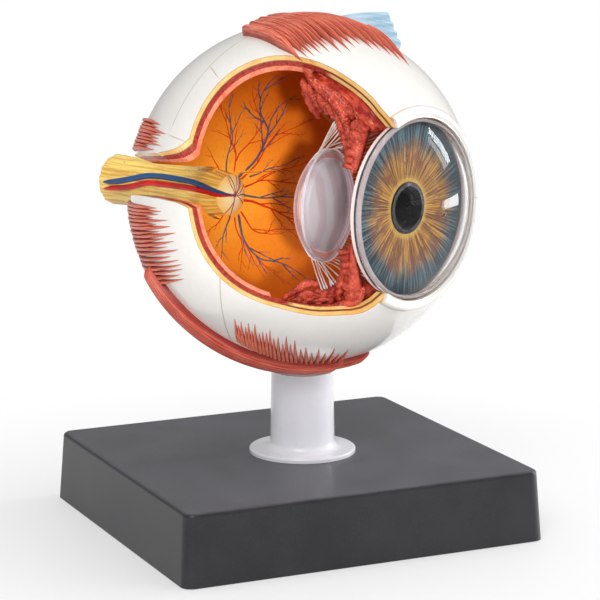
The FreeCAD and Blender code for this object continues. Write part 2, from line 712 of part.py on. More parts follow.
def lens_place(forward=0.0):
    centre = Vector(value("lens_forward"), value("lens_side"), value("lens_drop"))
    return EYE.multiply(Placement(centre, Rotation(UP, value("lens_turn")))).multiply(
        Placement(Vector(forward, 0, 0), Rotation()))


def make_lens():
    half = "lens_back"
    place = lens_place(-value(half))
    outer = [(None, None), (half + " - lens_edge", "lens_radius"),
             (half + " + lens_edge", "lens_radius"), (half + " + lens_front", None)]
    turned("lens_whole", outer, arcs=(0, 2))
    wall = "lens_wall"
    turned("lens_hollow", [
        (wall, None), (half + " - lens_edge", "lens_radius - lens_wall - lens_wall"),
        (half + " + lens_edge", "lens_radius - lens_wall - lens_wall"),
        (half + " + lens_front - " + wall, None)], arcs=(0, 2))
    join("Cut", "lens_capsule", doc.getObject("lens_whole"), doc.getObject("lens_hollow"), place)
    gap = "lens_core_gap"
    rim = "lens_radius - lens_wall - lens_wall - " + gap
    turned("lens_nucleus", [
        (wall + " + " + gap, None), (half + " - lens_edge", rim), (half + " + lens_edge", rim),
        (half + " + lens_front - %s - %s" % (wall, gap), None)], arcs=(0, 2), place=place)


def rod(start, end, radius):
    return Part.makeCylinder(radius, start.distanceToPoint(end), start, end - start)


def make_fibres(count=44):
    """Fine clear rods from the lens's edge to the folds, all but on the open side."""
    tilt = Rotation(UP, value("lens_turn"))
    centre = Vector(value("lens_forward"), value("lens_side"), value("lens_drop"))
    shapes = []
    for number in range(count):
        clock = math.radians(70.0 + 222.0 * number / (count - 1))
        inner = value("lens_radius + fibre_radius + fibre_gap")
        sway = 0.07 * math.sin(7.0 * number)
        across = (-math.cos(clock), math.sin(clock))
        start = centre + tilt.multVec(Vector(2.4 * math.cos(3.0 * number), inner * across[0],
                                             inner * across[1]))
        far = (-math.cos(clock + sway), math.sin(clock + sway))
        reach = value("fibre_reach")
        forward = value("lens_forward + fibre_forward") + 2.4 * math.sin(5.0 * number)
        end = Vector(forward, reach * far[0], reach * far[1])
        shapes.append(rod(start, end, value("fibre_radius")))
    group = doc.addObject("Part::Feature", "zonule_fibres")
    group.Shape = Part.makeCompound(shapes)
    group.Placement = EYE


# --- optic nerve ---

def make_nerve():
    """The trunk, its head on the retina, and the two vessels let into its near side."""
    length = "nerve_back - nerve_head"
    shoulder = "nerve_shoulder - nerve_head"
    back = Vector(-value("nerve_head"), value("nerve_side"), -value("nerve_drop"))
    place = EYE.multiply(Placement(back, Rotation(UP, 180)))
    trunk = turned("nerve_trunk", [
        (None, None), (None, "nerve_head_radius"), (shoulder, "nerve_radius"),
        (length + " - nerve_end_edge", "nerve_radius"),
        (length, "nerve_radius - nerve_end_edge"), (length, None)])
    vessels = []
    for name, lift in (("central_vein", 1.0), ("central_artery", -1.0)):
        height = lift * value("vessel_gap")
        radius = value("nerve_radius")
        out = math.sqrt(radius ** 2 - height ** 2)
        start = value(length + " - vessel_end")
        points = [Vector(start, out, height), Vector(start * 0.7, out, height * 1.25),
                  Vector(value(shoulder), out - 0.3, height),
                  Vector(value("vessel_head"), value("nerve_head_radius") - 0.2, height * 0.8)]
        mouth = Part.Wire(Part.makeCircle(value("vessel_radius"), points[0],
                                          points[1] - points[0]))
        tube = Part.Wire(Part.makePolygon(points)).makePipeShell([mouth], True, False, 1)
        vessel = doc.addObject("Part::Feature", name)
        vessel.Shape = tube
        vessel.Placement = place
        vessels.append(tube)
    grooves = doc.addObject("Part::Feature", "vessel_grooves")
    grooves.Shape = vessels[0].fuse(vessels[1])
    join("Cut", "optic_nerve", trunk, grooves, place)
    crown = "disc_wall + disc_crown"
    place = EYE.multiply(Placement(back, Rotation()))
    turned("optic_disc", [(None, None), (None, "nerve_head_radius"),
                          ("disc_wall", "nerve_head_radius"), (crown, None)],
           arcs=(2,), place=place)


# --- muscles: straps that hug the ball, with a comb of fibre tips at the tendon end ---

def strap(name, middle, along, back, front, back_half, front_half, wall, tips=0, tip_length=8.0,
          cutters=(), place=EYE, steps=9):
    """A strap about a middle direction that runs along another; all reaches in degrees."""
    normal = Vector(middle)
    normal.normalize()
    forward = Vector(along) - normal * normal.dot(Vector(along))
    forward.normalize()
    side = normal.cross(forward)

    def at(run, across):
        r, w = math.radians(run), math.radians(across)
        return (normal * math.cos(r) + forward * math.sin(r)) * math.cos(w) + side * math.sin(w)

    ring = []
    for step in range(steps + 1):
        share = step / steps
        ring.append(at(back + (front - back) * share, -back_half - (front_half - back_half) * share))
    for tip in range(1, 2 * tips):
        across = -front_half + front_half * tip / tips
        reach = tip_length * (0.75 + 0.25 * math.cos(1.9 * tip)) if tip % 2 else 0.0
        ring.append(at(front + reach, across))
    for step in range(steps + 1):
        share = 1 - step / steps
        ring.append(at(back + (front - back) * share, back_half + (front_half - back_half) * share))
    for step in range(1, 4):
        ring.append(at(back, back_half - back_half * step / 2.0))
    tip_direction = at(0.5 * (back + front), 0.0)
    outline = radial_solid(name + "_outline", ring, fan(len(ring)), tip_direction, inner=50.0)
    ball = part("Sphere", name + "_ball", Radius="eye_radius + " + wall)
    core = part("Sphere", name + "_core", Radius="eye_radius")
    piece = join("Common", name + "_strap", join("Cut", name + "_coat", ball, core), outline)
    for number, cutter in enumerate(cutters):
        piece = join("Cut", "%s_cut_%d" % (name, number), piece, cutter)
    if place:
        piece.Placement = place
        piece.Label = name
    return piece


def make_muscles():
    post_room = cylinder("post_room", "post_clearance", "eye_height", Vector(), -UP)
    strap("superior_rectus", (10, -6, 74), (1, -0.08, 0), -22, 21, 13.5, 19.5, "rectus_wall",
          tips=9, tip_length=10.0)
    lateral = strap("lateral_rectus", by_height(-125, 1.5), (0.6, -0.5, 0), -26, 24, 21, 21.5,
                    "side_rectus_wall", tips=12, cutters=(SLOT,), place=None)
    split("lateral_rectus", lateral, EYE)
    medial = strap("medial_rectus", by_height(75, 2), (0.9, -0.2, 0), -30, 33, 15, 20,
                   "side_rectus_wall", tips=10, place=None)
    split("medial_rectus", medial, EYE)
    oblique = strap("inferior_oblique", (-12.8, -46.5, -57.4), (0.718, 0.453, -0.529), -32, 44,
                    6.5, 8.0, "oblique_wall", cutters=(post_room,))
    flat = strap("inferior_rectus", (14, -32, -66), (0.65, -0.5, 0.57), -8, 8, 18, 19,
                 "under_rectus_wall", tips=9, tip_length=15.0, cutters=(post_room,), place=None)
    join("Cut", "inferior_rectus", flat, oblique_in_eye_frame(oblique), EYE)


def oblique_in_eye_frame(oblique):
    """The oblique as a tool, before it is set on the stand."""
    doc.recompute()
    tool = doc.addObject("Part::Feature", "oblique_tool")
    shape = oblique.Shape.copy()
    shape.Placement = Placement()
    tool.Shape = shape
    return tool


def make_tendon():
    """Four ribs side by side that leave the top of the ball towards the nose."""
    direction = Vector(0.55, 0.8, 0.0)
    direction.normalize()
    across = direction.cross(UP)
    ribs = []
    for number in range(4):
        start = Vector(5.0, 9.0, value("eye_radius") - 1.2 - 0.5 * number)
        start += across * (number * 0.8)
        drop = value("tendon_rise") - number * value("tendon_pitch")
        end = start + direction * (value("tendon_length") + 1.2 * number) + UP * drop
        end += across * (number * value("tendon_spread"))
        run = end - start
        ribs.append(Part.makeCone(value("tendon_root_radius"), value("tendon_radius"),
                                  run.Length, start, run))
    whole = ribs[0].fuse(ribs[1:])
    whole = whole.cut(Part.makeSphere(value("eye_radius")))
    holder = doc.addObject("Part::Feature", "tendon_ribs")
    holder.Shape = whole
    muscle = doc.getObject("superior_rectus_strap")
    join("Cut", "superior_oblique_tendon", holder, muscle_tool(muscle), EYE)


def muscle_tool(muscle):
    doc.recompute()
    tool = doc.addObject("Part::Feature", "rectus_tool")
    shape = muscle.Shape.copy()
    shape.Placement = Placement()
    tool.Shape = shape
    return tool


NODES = (
    "base_shell", "base_bottom_cover", "rubber_feet", "cover_screws", "stand_post",
    "post_washer", "post_screw", "swivel_pin", "pin_screw",
    "sclera_upper", "sclera_lower", "choroid_upper", "choroid_lower", "retina_upper",
    "retina_lower", "locating_pegs", "ciliary_body_upper", "ciliary_body_lower",
    "iris", "pupil_tube", "cornea", "lens_capsule", "lens_nucleus", "zonule_fibres",
    "optic_nerve", "optic_disc", "central_artery", "central_vein",
    "superior_rectus", "superior_oblique_tendon", "lateral_rectus_upper",
    "lateral_rectus_lower", "medial_rectus_upper", "medial_rectus_lower",
    "inferior_rectus", "inferior_oblique",
)


def write_parts():
    doc.recompute()
    for item in doc.Objects:
        if "Invalid" in item.State or "Error" in item.State:
            raise ValueError("%s failed: %s" % (item.Name, item.State))
    labelled = {item.Label: item for item in doc.Objects}
    for node in NODES:
        shape = labelled[node].Shape
        if shape.isNull() or not shape.isValid() or not shape.Solids:
            raise ValueError(node + " has no sound solid")
        print("%-26s %2d solids %10.1f mm3" % (node, len(shape.Solids), shape.Volume))
        shape.exportStep("parts/%s.step" % node)


make_base_shell()
make_bottom_cover()
make_small_stand_pieces()
make_post()
make_swivel()
make_coats()
make_pegs()
make_ciliary_body()
make_front_pieces()
make_lens()
make_fibres()
make_nerve()
make_muscles()
make_tendon()
write_parts()
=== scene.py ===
"""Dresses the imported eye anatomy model: finishes for its solids and modelled pieces over them."""
import math
import random

import bpy
import numpy as np
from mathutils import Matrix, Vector


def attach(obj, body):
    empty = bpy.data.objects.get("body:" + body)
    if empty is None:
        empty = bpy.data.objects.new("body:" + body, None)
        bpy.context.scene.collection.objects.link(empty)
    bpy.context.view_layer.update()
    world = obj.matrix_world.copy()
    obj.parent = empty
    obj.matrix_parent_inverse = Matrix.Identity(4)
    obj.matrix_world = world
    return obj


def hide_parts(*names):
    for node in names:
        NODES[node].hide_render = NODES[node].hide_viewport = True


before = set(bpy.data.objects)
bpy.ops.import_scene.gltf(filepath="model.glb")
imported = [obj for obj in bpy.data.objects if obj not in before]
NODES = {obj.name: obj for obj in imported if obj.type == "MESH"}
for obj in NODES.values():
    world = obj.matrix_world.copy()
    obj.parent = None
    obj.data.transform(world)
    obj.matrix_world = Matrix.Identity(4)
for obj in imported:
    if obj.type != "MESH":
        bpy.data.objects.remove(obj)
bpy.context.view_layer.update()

bl_info = {
    "name": "Eye anatomy model",
    "version": (1, 0, 0),
    "blender": (4, 5, 0),
    "location": "View3D > Sidebar > Eye model",
    "description": "Builds the muscles, ciliary body, vessels and finishes of an eye anatomy model",
    "category": "Object",
}

MM = 0.001
BALL_RADIUS = 75.0
STRAND_FLOOR = 74.6
STRAP_FLOOR = 74.4


# --- sizes and colours that a user may change ---

def length(name, description, default):
    return bpy.props.FloatProperty(name=name, description=description, default=default,
                                   unit="LENGTH", min=0.0)


def count(name, description, default):
    return bpy.props.IntProperty(name=name, description=description, default=default, min=1)


def colour(name, description, default):
    return bpy.props.FloatVectorProperty(name=name, description=description, default=default,
                                         subtype="COLOR", size=3, min=0.0, max=1.0)


class EyeSizes(bpy.types.PropertyGroup):
    """Where the ball stands and how thick its dressed pieces are."""
    ball_height: length("Ball height", "Height of the ball's centre above the table", 0.1469)
    ball_turn: bpy.props.FloatProperty(name="Ball turn", description="Optic axis from +X",
                                       default=math.radians(-65.0), subtype="ANGLE")
    post_x: bpy.props.FloatProperty(name="Post X", description="Post axis from the base's middle",
                                    default=0.0036, unit="LENGTH")
    post_y: bpy.props.FloatProperty(name="Post Y", description="Post axis from the base's middle",
                                    default=-0.0017, unit="LENGTH")
    retina_radius: length("Retina radius", "Inside radius of the retina", 0.0672)
    vessel_radius: length("Vessel radius", "Radius of the widest vessel on the retina", 0.00062)
    strand_count: count("Strands", "Fibre strands across the upper muscle", 28)


class EyeColours(bpy.types.PropertyGroup):
    """The paints of the model."""
    white_shell: colour("White shell", "Outer enamel of the ball", (0.80, 0.775, 0.735))
    cut_yellow: colour("Cut edge", "Yellow of the white shell's cut edge", (0.82, 0.45, 0.115))
    muscle: colour("Muscle", "Main red of the muscles", (0.68, 0.100, 0.055))
    # The ridge colour is a painted highlight on the fibres' crests; the groove colour is painted shade
    # between them.
    muscle_highlight: colour("Muscle ridge", "Pale red of the muscle fibres' crests", (0.90, 0.31, 0.20))
    muscle_groove_shade: colour("Muscle groove", "Dark red between the muscle fibres", (0.20, 0.008, 0.005))
    nerve: colour("Nerve", "Yellow of the optic nerve", (0.95, 0.66, 0.16))
    artery: colour("Artery", "Red of the arteries", (0.66, 0.008, 0.006))
    vein: colour("Vein", "Blue of the veins", (0.008, 0.085, 0.24))
    base: colour("Base", "Charcoal of the stand's base", (0.0125, 0.0127, 0.0150))


def sizes():
    return bpy.context.scene.eye_sizes


def paints():
    return bpy.context.scene.eye_colours


# --- the ball's own frame: X along the optic axis, Z up, in millimetres ---

def to_stand(points):
    """Points of the ball's frame in the stand's frame, in metres."""
    p = np.asarray(points, float).reshape(-1, 3)
    turn = sizes().ball_turn
    c, s = math.cos(turn), math.sin(turn)
    out = np.empty_like(p)
    out[:, 0] = (p[:, 0] * c - p[:, 1] * s) * MM + sizes().post_x
    out[:, 1] = (p[:, 0] * s + p[:, 1] * c) * MM + sizes().post_y
    out[:, 2] = p[:, 2] * MM + sizes().ball_height
    return out


def ball_centre(share=1.0):
    """The ball's centre in the stand's frame, or its opposite."""
    s = sizes()
    return (s.post_x * share, s.post_y * share, s.ball_height * share)


def unit(v):
    v = np.asarray(v, float)
    return v / np.linalg.norm(v)


# --- making and shaping meshes ---

def clear_selection():
    if bpy.context.object and bpy.context.object.mode != "OBJECT":
        bpy.ops.object.mode_set(mode="OBJECT")
    bpy.ops.object.select_all(action="DESELECT")


def only(obj):
    clear_selection()
    obj.select_set(True)
    bpy.context.view_layer.objects.active = obj


def finish_mesh(obj, angle=45.0):
    """Outward faces, smooth shading and the place kept in the mesh."""
    only(obj)
    bpy.ops.object.transform_apply(location=True, rotation=True, scale=True)
    bpy.ops.object.mode_set(mode="EDIT")
    bpy.ops.mesh.select_all(action="SELECT")
    bpy.ops.mesh.normals_make_consistent(inside=False)
    bpy.ops.object.mode_set(mode="OBJECT")
    bpy.ops.object.shade_smooth_by_angle(angle=math.radians(angle))
    return obj


def points_of(mesh):
    co = np.empty(len(mesh.vertices) * 3)
    mesh.vertices.foreach_get("co", co)
    return co.reshape(-1, 3)


def pod(place, rings=24, segments=14, shade=None):
    """A closed pod: a sphere whose points go to place(share along, angle round), in mm.

    shade(share along, angle round) says how deep in a groove or under a fold a point lies, for painted
    shade there.
    """
    clear_selection()
    bpy.ops.mesh.primitive_uv_sphere_add(segments=segments, ring_count=rings, radius=1.0)
    obj = bpy.context.object
    mesh = obj.data
    co = points_of(mesh)
    along = np.arccos(np.clip(co[:, 2], -1.0, 1.0)) / math.pi
    around = np.arctan2(co[:, 1], co[:, 0])
    moved = np.array([place(a, r) for a, r in zip(along, around)])
    mesh.vertices.foreach_set("co", to_stand(moved).ravel())
    # The groove attribute carries painted shade: darker deep in grooves and under folds, for the
    # paints that read it.
    groove_shade = mesh.attributes.new("groove_shade", "FLOAT", "POINT")
    if shade:
        groove_shade.data.foreach_set("value", [shade(a, r) for a, r in zip(along, around)])
    mesh.update()
    return obj


def hoop(place, major=180, minor=24):
    """A closed ring: a torus whose points go to place(angle round, angle of section), in mm."""
    clear_selection()
    bpy.ops.mesh.primitive_torus_add(major_segments=major, minor_segments=minor,
                                     major_radius=1.0, minor_radius=0.25)
    obj = bpy.context.object
    mesh = obj.data
    co = points_of(mesh)
    round_angle = np.arctan2(co[:, 1], co[:, 0])
    section = np.arctan2(co[:, 2], np.hypot(co[:, 0], co[:, 1]) - 1.0)
    moved = np.array([place(a, s) for a, s in zip(round_angle, section)])
    mesh.vertices.foreach_set("co", to_stand(moved).ravel())
    mesh.update()
    return obj


def joined(name, parts, angle=45.0):
    """One piece of several separate closed forms."""
    clear_selection()
    for item in parts:
        item.select_set(True)
    bpy.context.view_layer.objects.active = parts[0]
    if len(parts) > 1:
        bpy.ops.object.join()
    obj = bpy.context.object
    obj.name = name
    obj.data.name = name
    return finish_mesh(obj, angle)


def dress(obj, material, body, slot, *stands_for):
    """Gives a new piece its finish, its body and the solids that it stands for."""
    obj.data.materials.clear()
    obj.data.materials.append(material)
    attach(obj, body)
    if stands_for:
        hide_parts(*stands_for)
    return obj


# --- strands that lie on the ball ---

def smooth(edge_0, edge_1, x):
    """0 before the first edge and 1 after the second, with a soft step between."""
    t = min(1.0, max(0.0, (x - edge_0) / (edge_1 - edge_0)))
    return t * t * (3 - 2 * t)


def spline(points, share):
    """A point on the smooth line through the given points."""
    points = [np.asarray(p, float) for p in points]
    span = share * (len(points) - 1)
    k = min(int(span), len(points) - 2)
    t = span - k
    p1, p2 = points[k], points[k + 1]
    p0 = points[k - 1] if k > 0 else 2 * p1 - p2
    p3 = points[k + 2] if k + 2 < len(points) else 2 * p2 - p1
    return 0.5 * ((2 * p1) + (p2 - p0) * t + (2 * p0 - 5 * p1 + 4 * p2 - p3) * t * t
                  + (3 * p1 - p0 - 3 * p2 + p3) * t ** 3)


def flank_shade(along, around):
    """How much painted shade a strand gets: none on its crest, most low down between it and the next.
    """
    return 0.85 * smooth(0.97, 0.25, math.sin(around))


def strand(path, half_width, height, rings=30, segments=12, floor=STRAND_FLOOR, ridges=0, blunt=0.06,
           taper=0.5, ridge_depth=0.12, lift=None):
    """A fibre bundle on the ball: rounded at its root and drawn out to a fine tip.

    path(share) is a direction from the ball's centre.  taper is the share of the length after
    which the bundle narrows.
    """
    def place(along, around):
        here, ahead = path(along), path(min(1.0, along + 0.01))
        behind = path(max(0.0, along - 0.01))
        normal = unit(here)
        forward = unit(ahead - behind)
        side = unit(np.cross(normal, forward))
        swell = math.sqrt(min(1.0, along / blunt)) if along < blunt else 1.0
        fall = 1.0 - smooth(taper, 1.0, along) if along > taper else 1.0
        width = half_width * swell * (0.04 + 0.96 * fall)
        tall = height * swell * (0.03 + 0.97 * fall)
        if along <= 0.0 or along >= 1.0:
            width = 0.0
        across = math.cos(around) * width
        up = math.sin(around)
        rise = tall * (up if up > 0 else 0.15 * up)
        if ridges and up > 0:
            rise += ridge_depth * tall * up * math.cos(ridges * around)
        base = floor + (lift(along) if lift else 0.0)
        return normal * (base + rise) + side * across

    return pod(place, rings, segments, flank_shade)


# --- wiring materials ---

def wire(tree, kind, ins=None, **settings):
    """A shader node with its settings, its inputs either plain values or sockets to link."""
    node = tree.nodes.new("ShaderNode" + kind)
    for key, entry in settings.items():
        setattr(node, key, entry)
    for key, entry in (ins or {}).items():
        if isinstance(entry, bpy.types.NodeSocket):
            tree.links.new(entry, node.inputs[key])
        else:
            node.inputs[key].default_value = entry
    return node


def maths(tree, operation, a, b=0.0, c=0.0, clamp=False):
    return wire(tree, "Math", {0: a, 1: b, 2: c}, operation=operation, use_clamp=clamp).outputs[0]


def ease(tree, value, low, high):
    """0 below low and 1 above high, with a soft step between."""
    return wire(tree, "MapRange", {"Value": value, "From Min": low, "From Max": high},
                interpolation_type="SMOOTHSTEP").outputs[0]


def rgba(c):
    return (c[0], c[1], c[2], 1.0)


def mix(tree, share, a, b, kind="MIX"):
    a = a if isinstance(a, bpy.types.NodeSocket) else rgba(a)
    b = b if isinstance(b, bpy.types.NodeSocket) else rgba(b)
    node = wire(tree, "Mix", {0: share, 6: a, 7: b}, data_type="RGBA", blend_type=kind)
    return node.outputs[2]


def noise(tree, vector, scale, detail=4.0, rough=0.55):
    node = wire(tree, "TexNoise", {"Vector": vector, "Scale": scale, "Detail": detail,
                                   "Roughness": rough})
    return node.outputs[0]


def bump(tree, height, distance, strength=1.0, onto=None):
    ins = {"Height": height, "Distance": distance, "Strength": strength}
    if onto:
        ins["Normal"] = onto
    return wire(tree, "Bump", ins).outputs[0]


def new_group(name, inputs, outputs):
    """An empty shader node group with float, vector and colour sockets."""
    group = bpy.data.node_groups.new(name, "ShaderNodeTree")
    kinds = {"f": "NodeSocketFloat", "v": "NodeSocketVector", "c": "NodeSocketColor"}
    for key, (kind, default) in inputs.items():
        socket = group.interface.new_socket(key, in_out="INPUT", socket_type=kinds[kind])
        if default is not None:
            socket.default_value = default
    for key, kind in outputs.items():
        group.interface.new_socket(key, in_out="OUTPUT", socket_type=kinds[kind])
    return group, group.nodes.new("NodeGroupInput"), group.nodes.new("NodeGroupOutput")


def make_mottle_group():
    """Paint that is never quite even: two tones in broad clouds with fine specks."""
    group, start, end = new_group("mottled paint", {
        "Vector": ("v", None), "Main": ("c", (0.5, 0.5, 0.5, 1)), "Second": ("c", (0.4, 0.4, 0.4, 1)),
        "Cloud scale": ("f", 40.0), "Speck scale": ("f", 600.0), "Amount": ("f", 0.5)},
        {"Color": "c", "Cloud": "f"})
    cloud = noise(group, start.outputs["Vector"], start.outputs["Cloud scale"], 3.0)
    speck = noise(group, start.outputs["Vector"], start.outputs["Speck scale"], 2.0)
    both = maths(group, "MULTIPLY_ADD", speck, 0.35, maths(group, "MULTIPLY", cloud, 0.8))
    share = maths(group, "MULTIPLY", ease(group, both, 0.38, 0.75), start.outputs["Amount"])
    tone = mix(group, share, start.outputs["Main"], start.outputs["Second"])
    group.links.new(tone, end.inputs["Color"])
    group.links.new(cloud, end.inputs["Cloud"])
    return group


def make_grain_group():
    """Height of a moulded or cast surface: fine grain over a slow waviness."""
    group, start, end = new_group("surface grain", {
        "Vector": ("v", None), "Grain scale": ("f", 900.0), "Wave scale": ("f", 30.0),
        "Wave share": ("f", 0.3)}, {"Height": "f"})
    fine = noise(group, start.outputs["Vector"], start.outputs["Grain scale"], 3.0, 0.6)
    slow = noise(group, start.outputs["Vector"], start.outputs["Wave scale"], 2.0)
    height = maths(group, "MULTIPLY_ADD", slow, start.outputs["Wave share"], fine)
    group.links.new(height, end.inputs["Height"])
    return group


def make_radial_group():
    """How a surface of the ball faces: 1 outwards, 0 on a cut through its wall, -1 inwards."""
    group, start, end = new_group("ball facing", {
        "Point": ("v", None), "Normal": ("v", None)}, {"Facing": "f"})
    centre = wire(group, "VectorMath", {0: start.outputs["Point"],
                                        1: ball_centre(-1.0)}, operation="ADD")
    outward = wire(group, "VectorMath", {0: centre.outputs[0]}, operation="NORMALIZE")
    dot = wire(group, "VectorMath", {0: outward.outputs[0], 1: start.outputs["Normal"]},
               operation="DOT_PRODUCT")
    group.links.new(dot.outputs["Value"], end.inputs["Facing"])
    return group


def place_group(tree, group, ins):
    node = tree.nodes.new("ShaderNodeGroup")
    node.node_tree = group
    for key, entry in ins.items():
        if isinstance(entry, bpy.types.NodeSocket):
            tree.links.new(entry, node.inputs[key])
        elif node.inputs[key].type == "RGBA":
            node.inputs[key].default_value = rgba(entry)
        else:
            node.inputs[key].default_value = entry
    return node


class Paint:
    """A material in the making: its tree, its object coordinates and its shader."""

    def __init__(self, name, **constants):
        self.material = bpy.data.materials.new(name)
        self.material.use_nodes = True
        self.tree = self.material.node_tree
        self.shader = self.tree.nodes["Principled BSDF"]
        for key, entry in constants.items():
            self.shader.inputs[key.replace("_", " ")].default_value = entry
        self.coordinates = self.tree.nodes.new("ShaderNodeTexCoord")
        self.point = self.coordinates.outputs["Object"]
        self.uv = self.coordinates.outputs["UV"]

    def eye_space(self):
        """Millimetres in the ball's own frame."""
        return wire(self.tree, "Mapping", {
            "Vector": wire(self.tree, "VectorMath", {0: self.point, 1: ball_centre(-1.0)},
                           operation="ADD").outputs[0],
            "Scale": (1000.0, 1000.0, 1000.0),
            "Rotation": (0.0, 0.0, -sizes().ball_turn)}).outputs[0]

    def stretched(self, vector, scale):
        return wire(self.tree, "Mapping", {"Vector": vector, "Scale": scale}).outputs[0]

    def split(self, vector):
        node = wire(self.tree, "SeparateXYZ", {0: vector})
        return node.outputs[0], node.outputs[1], node.outputs[2]

    def facing(self):
        node = place_group(self.tree, GROUPS["radial"], {
            "Point": self.point, "Normal": self.coordinates.outputs["Normal"]})
        return node.outputs["Facing"]

    def mottle(self, main, second, clouds, specks, amount):
        node = place_group(self.tree, GROUPS["mottle"], {
            "Vector": self.point, "Main": main, "Second": second, "Cloud scale": clouds,
            "Speck scale": specks, "Amount": amount})
        return node.outputs["Color"], node.outputs["Cloud"]

    def grain(self, grain_scale, wave_scale, wave_share):
        return place_group(self.tree, GROUPS["grain"], {
            "Vector": self.point, "Grain scale": grain_scale, "Wave scale": wave_scale,
            "Wave share": wave_share}).outputs["Height"]

    def feed(self, **sockets):
        for key, socket in sockets.items():
            self.tree.links.new(socket, self.shader.inputs[key.replace("_", " ")])
        return self.material


GROUPS = {}
FINISHES = {}


def paint_base():
    p = Paint("charcoal base", Specular_IOR_Level=0.35, Coat_Weight=0.22, Coat_Roughness=0.2)
    c = paints().base
    tone, cloud = p.mottle(c, [v * 1.9 for v in c], 30.0, 1300.0, 1.0)
    # Painted light: faces that look up get a much lighter mottle, for the light falling on the base's
    # top and the post's soft reflection there.
    lit_top_facing = p.split(wire(p.tree, "NewGeometry").outputs["Normal"])[2]
    top, _ = p.mottle([v * 4.2 for v in c], [v * 7.0 for v in c], 30.0, 1300.0, 1.0)
    tone = mix(p.tree, ease(p.tree, lit_top_facing, 0.6, 0.95), tone, top)
    rough = maths(p.tree, "MULTIPLY_ADD", cloud, 0.18, 0.36)
    height = p.grain(2600.0, 50.0, 0.25)
    return p.feed(Base_Color=tone, Roughness=rough, Normal=bump(p.tree, height, 0.00012, 0.55))


def plain_paint(name, tones, mottling, rough, grain, relief, **constants):
    """Two mottled tones over a grained surface, rougher where the clouds are denser."""
    p = Paint(name, **constants)
    tone, cloud = p.mottle(*tones, *mottling)
    return p.feed(Base_Color=tone, Roughness=maths(p.tree, "MULTIPLY_ADD", cloud, *rough),
                  Normal=bump(p.tree, p.grain(*grain), *relief))


def paint_post():
    return plain_paint("post white", ((0.79, 0.79, 0.84), (0.84, 0.84, 0.88)),
                       (14.0, 300.0, 0.7), (0.10, 0.22), (700.0, 18.0, 2.0), (0.00006, 0.3),
                       Coat_Weight=0.35, Coat_Roughness=0.08)


SEAMS = (
    # the plane's normal, the way along the seam, and where it starts and ends on that way
    ((0.945, 0.258, -0.201), (0.0, 0.0, 1.0), -58.0, -20.0),
    ((0.969, -0.245, 0.035), (0.0, 0.0, 1.0), 33.0, 70.0),
    ((0.556, 0.593, 0.582), (0.0, 1.0, 0.0), -52.0, -44.0),
    ((0.199, 0.374, 0.906), (0.0, 1.0, 0.0), -70.0, -64.5),
)


def seam_mask(p, eye):
    """Hairlines where the shell's mouldings meet."""
    tree, mask = p.tree, None
    near = p.split(eye)[1]
    for normal, way, first, last in SEAMS:
        off = wire(tree, "VectorMath", {0: eye, 1: normal}, operation="DOT_PRODUCT")
        along = wire(tree, "VectorMath", {0: eye, 1: way}, operation="DOT_PRODUCT")
        off, along = off.outputs["Value"], along.outputs["Value"]
        line = ease(tree, maths(tree, "ABSOLUTE", off), 0.38, 0.12)
        line = maths(tree, "MULTIPLY", line, ease(tree, along, first, first + 3.0))
        line = maths(tree, "MULTIPLY", line, ease(tree, along, last, last - 3.0))
        line = maths(tree, "MULTIPLY", line, ease(tree, near, 0.0, -10.0))
        mask = line if mask is None else maths(tree, "MAXIMUM", mask, line)
    return mask


def paint_shell():
    """White enamel outside; yellow, between thin brown lines, on the cut edge of the opening."""
    p = Paint("white shell", Coat_Weight=0.6, Coat_Roughness=0.05)
    tree = p.tree
    facing = p.facing()
    white, cloud = p.mottle(paints().white_shell, [v * 0.93 for v in paints().white_shell],
                            18.0, 420.0, 0.8)
    yellow, _ = p.mottle(paints().cut_yellow, (0.90, 0.64, 0.26), 120.0, 900.0, 1.0)
    eye = p.eye_space()
    out = wire(tree, "VectorMath", {0: eye}, operation="LENGTH").outputs["Value"]
    brown = (0.34, 0.12, 0.035)
    yellow = mix(tree, ease(tree, out, 72.75, 72.35), yellow, brown)
    yellow = mix(tree, maths(tree, "MULTIPLY", ease(tree, out, 74.55, 74.75), 0.55), yellow, brown)
    on_cut = maths(tree, "SUBTRACT", 1.0, ease(tree, maths(tree, "ABSOLUTE", facing), 0.45, 0.70))
    on_cut = maths(tree, "MULTIPLY", on_cut, ease(tree, p.split(eye)[0], 63.5, 62.0))
    white = mix(tree, maths(tree, "MULTIPLY", seam_mask(p, eye), 0.75), white, (0.42, 0.33, 0.24))
    tone = mix(tree, on_cut, white, yellow)
    inside = ease(tree, maths(tree, "MULTIPLY", facing, -1.0), 0.6, 0.85)
    tone = mix(tree, inside, tone, (0.55, 0.20, 0.08))
    rough = maths(tree, "MULTIPLY_ADD", cloud, 0.12, maths(tree, "MULTIPLY_ADD", on_cut, 0.25, 0.16))
    return p.feed(Base_Color=tone, Roughness=rough,
                  Normal=bump(tree, p.grain(500.0, 16.0, 3.0), 0.00008, 0.25))


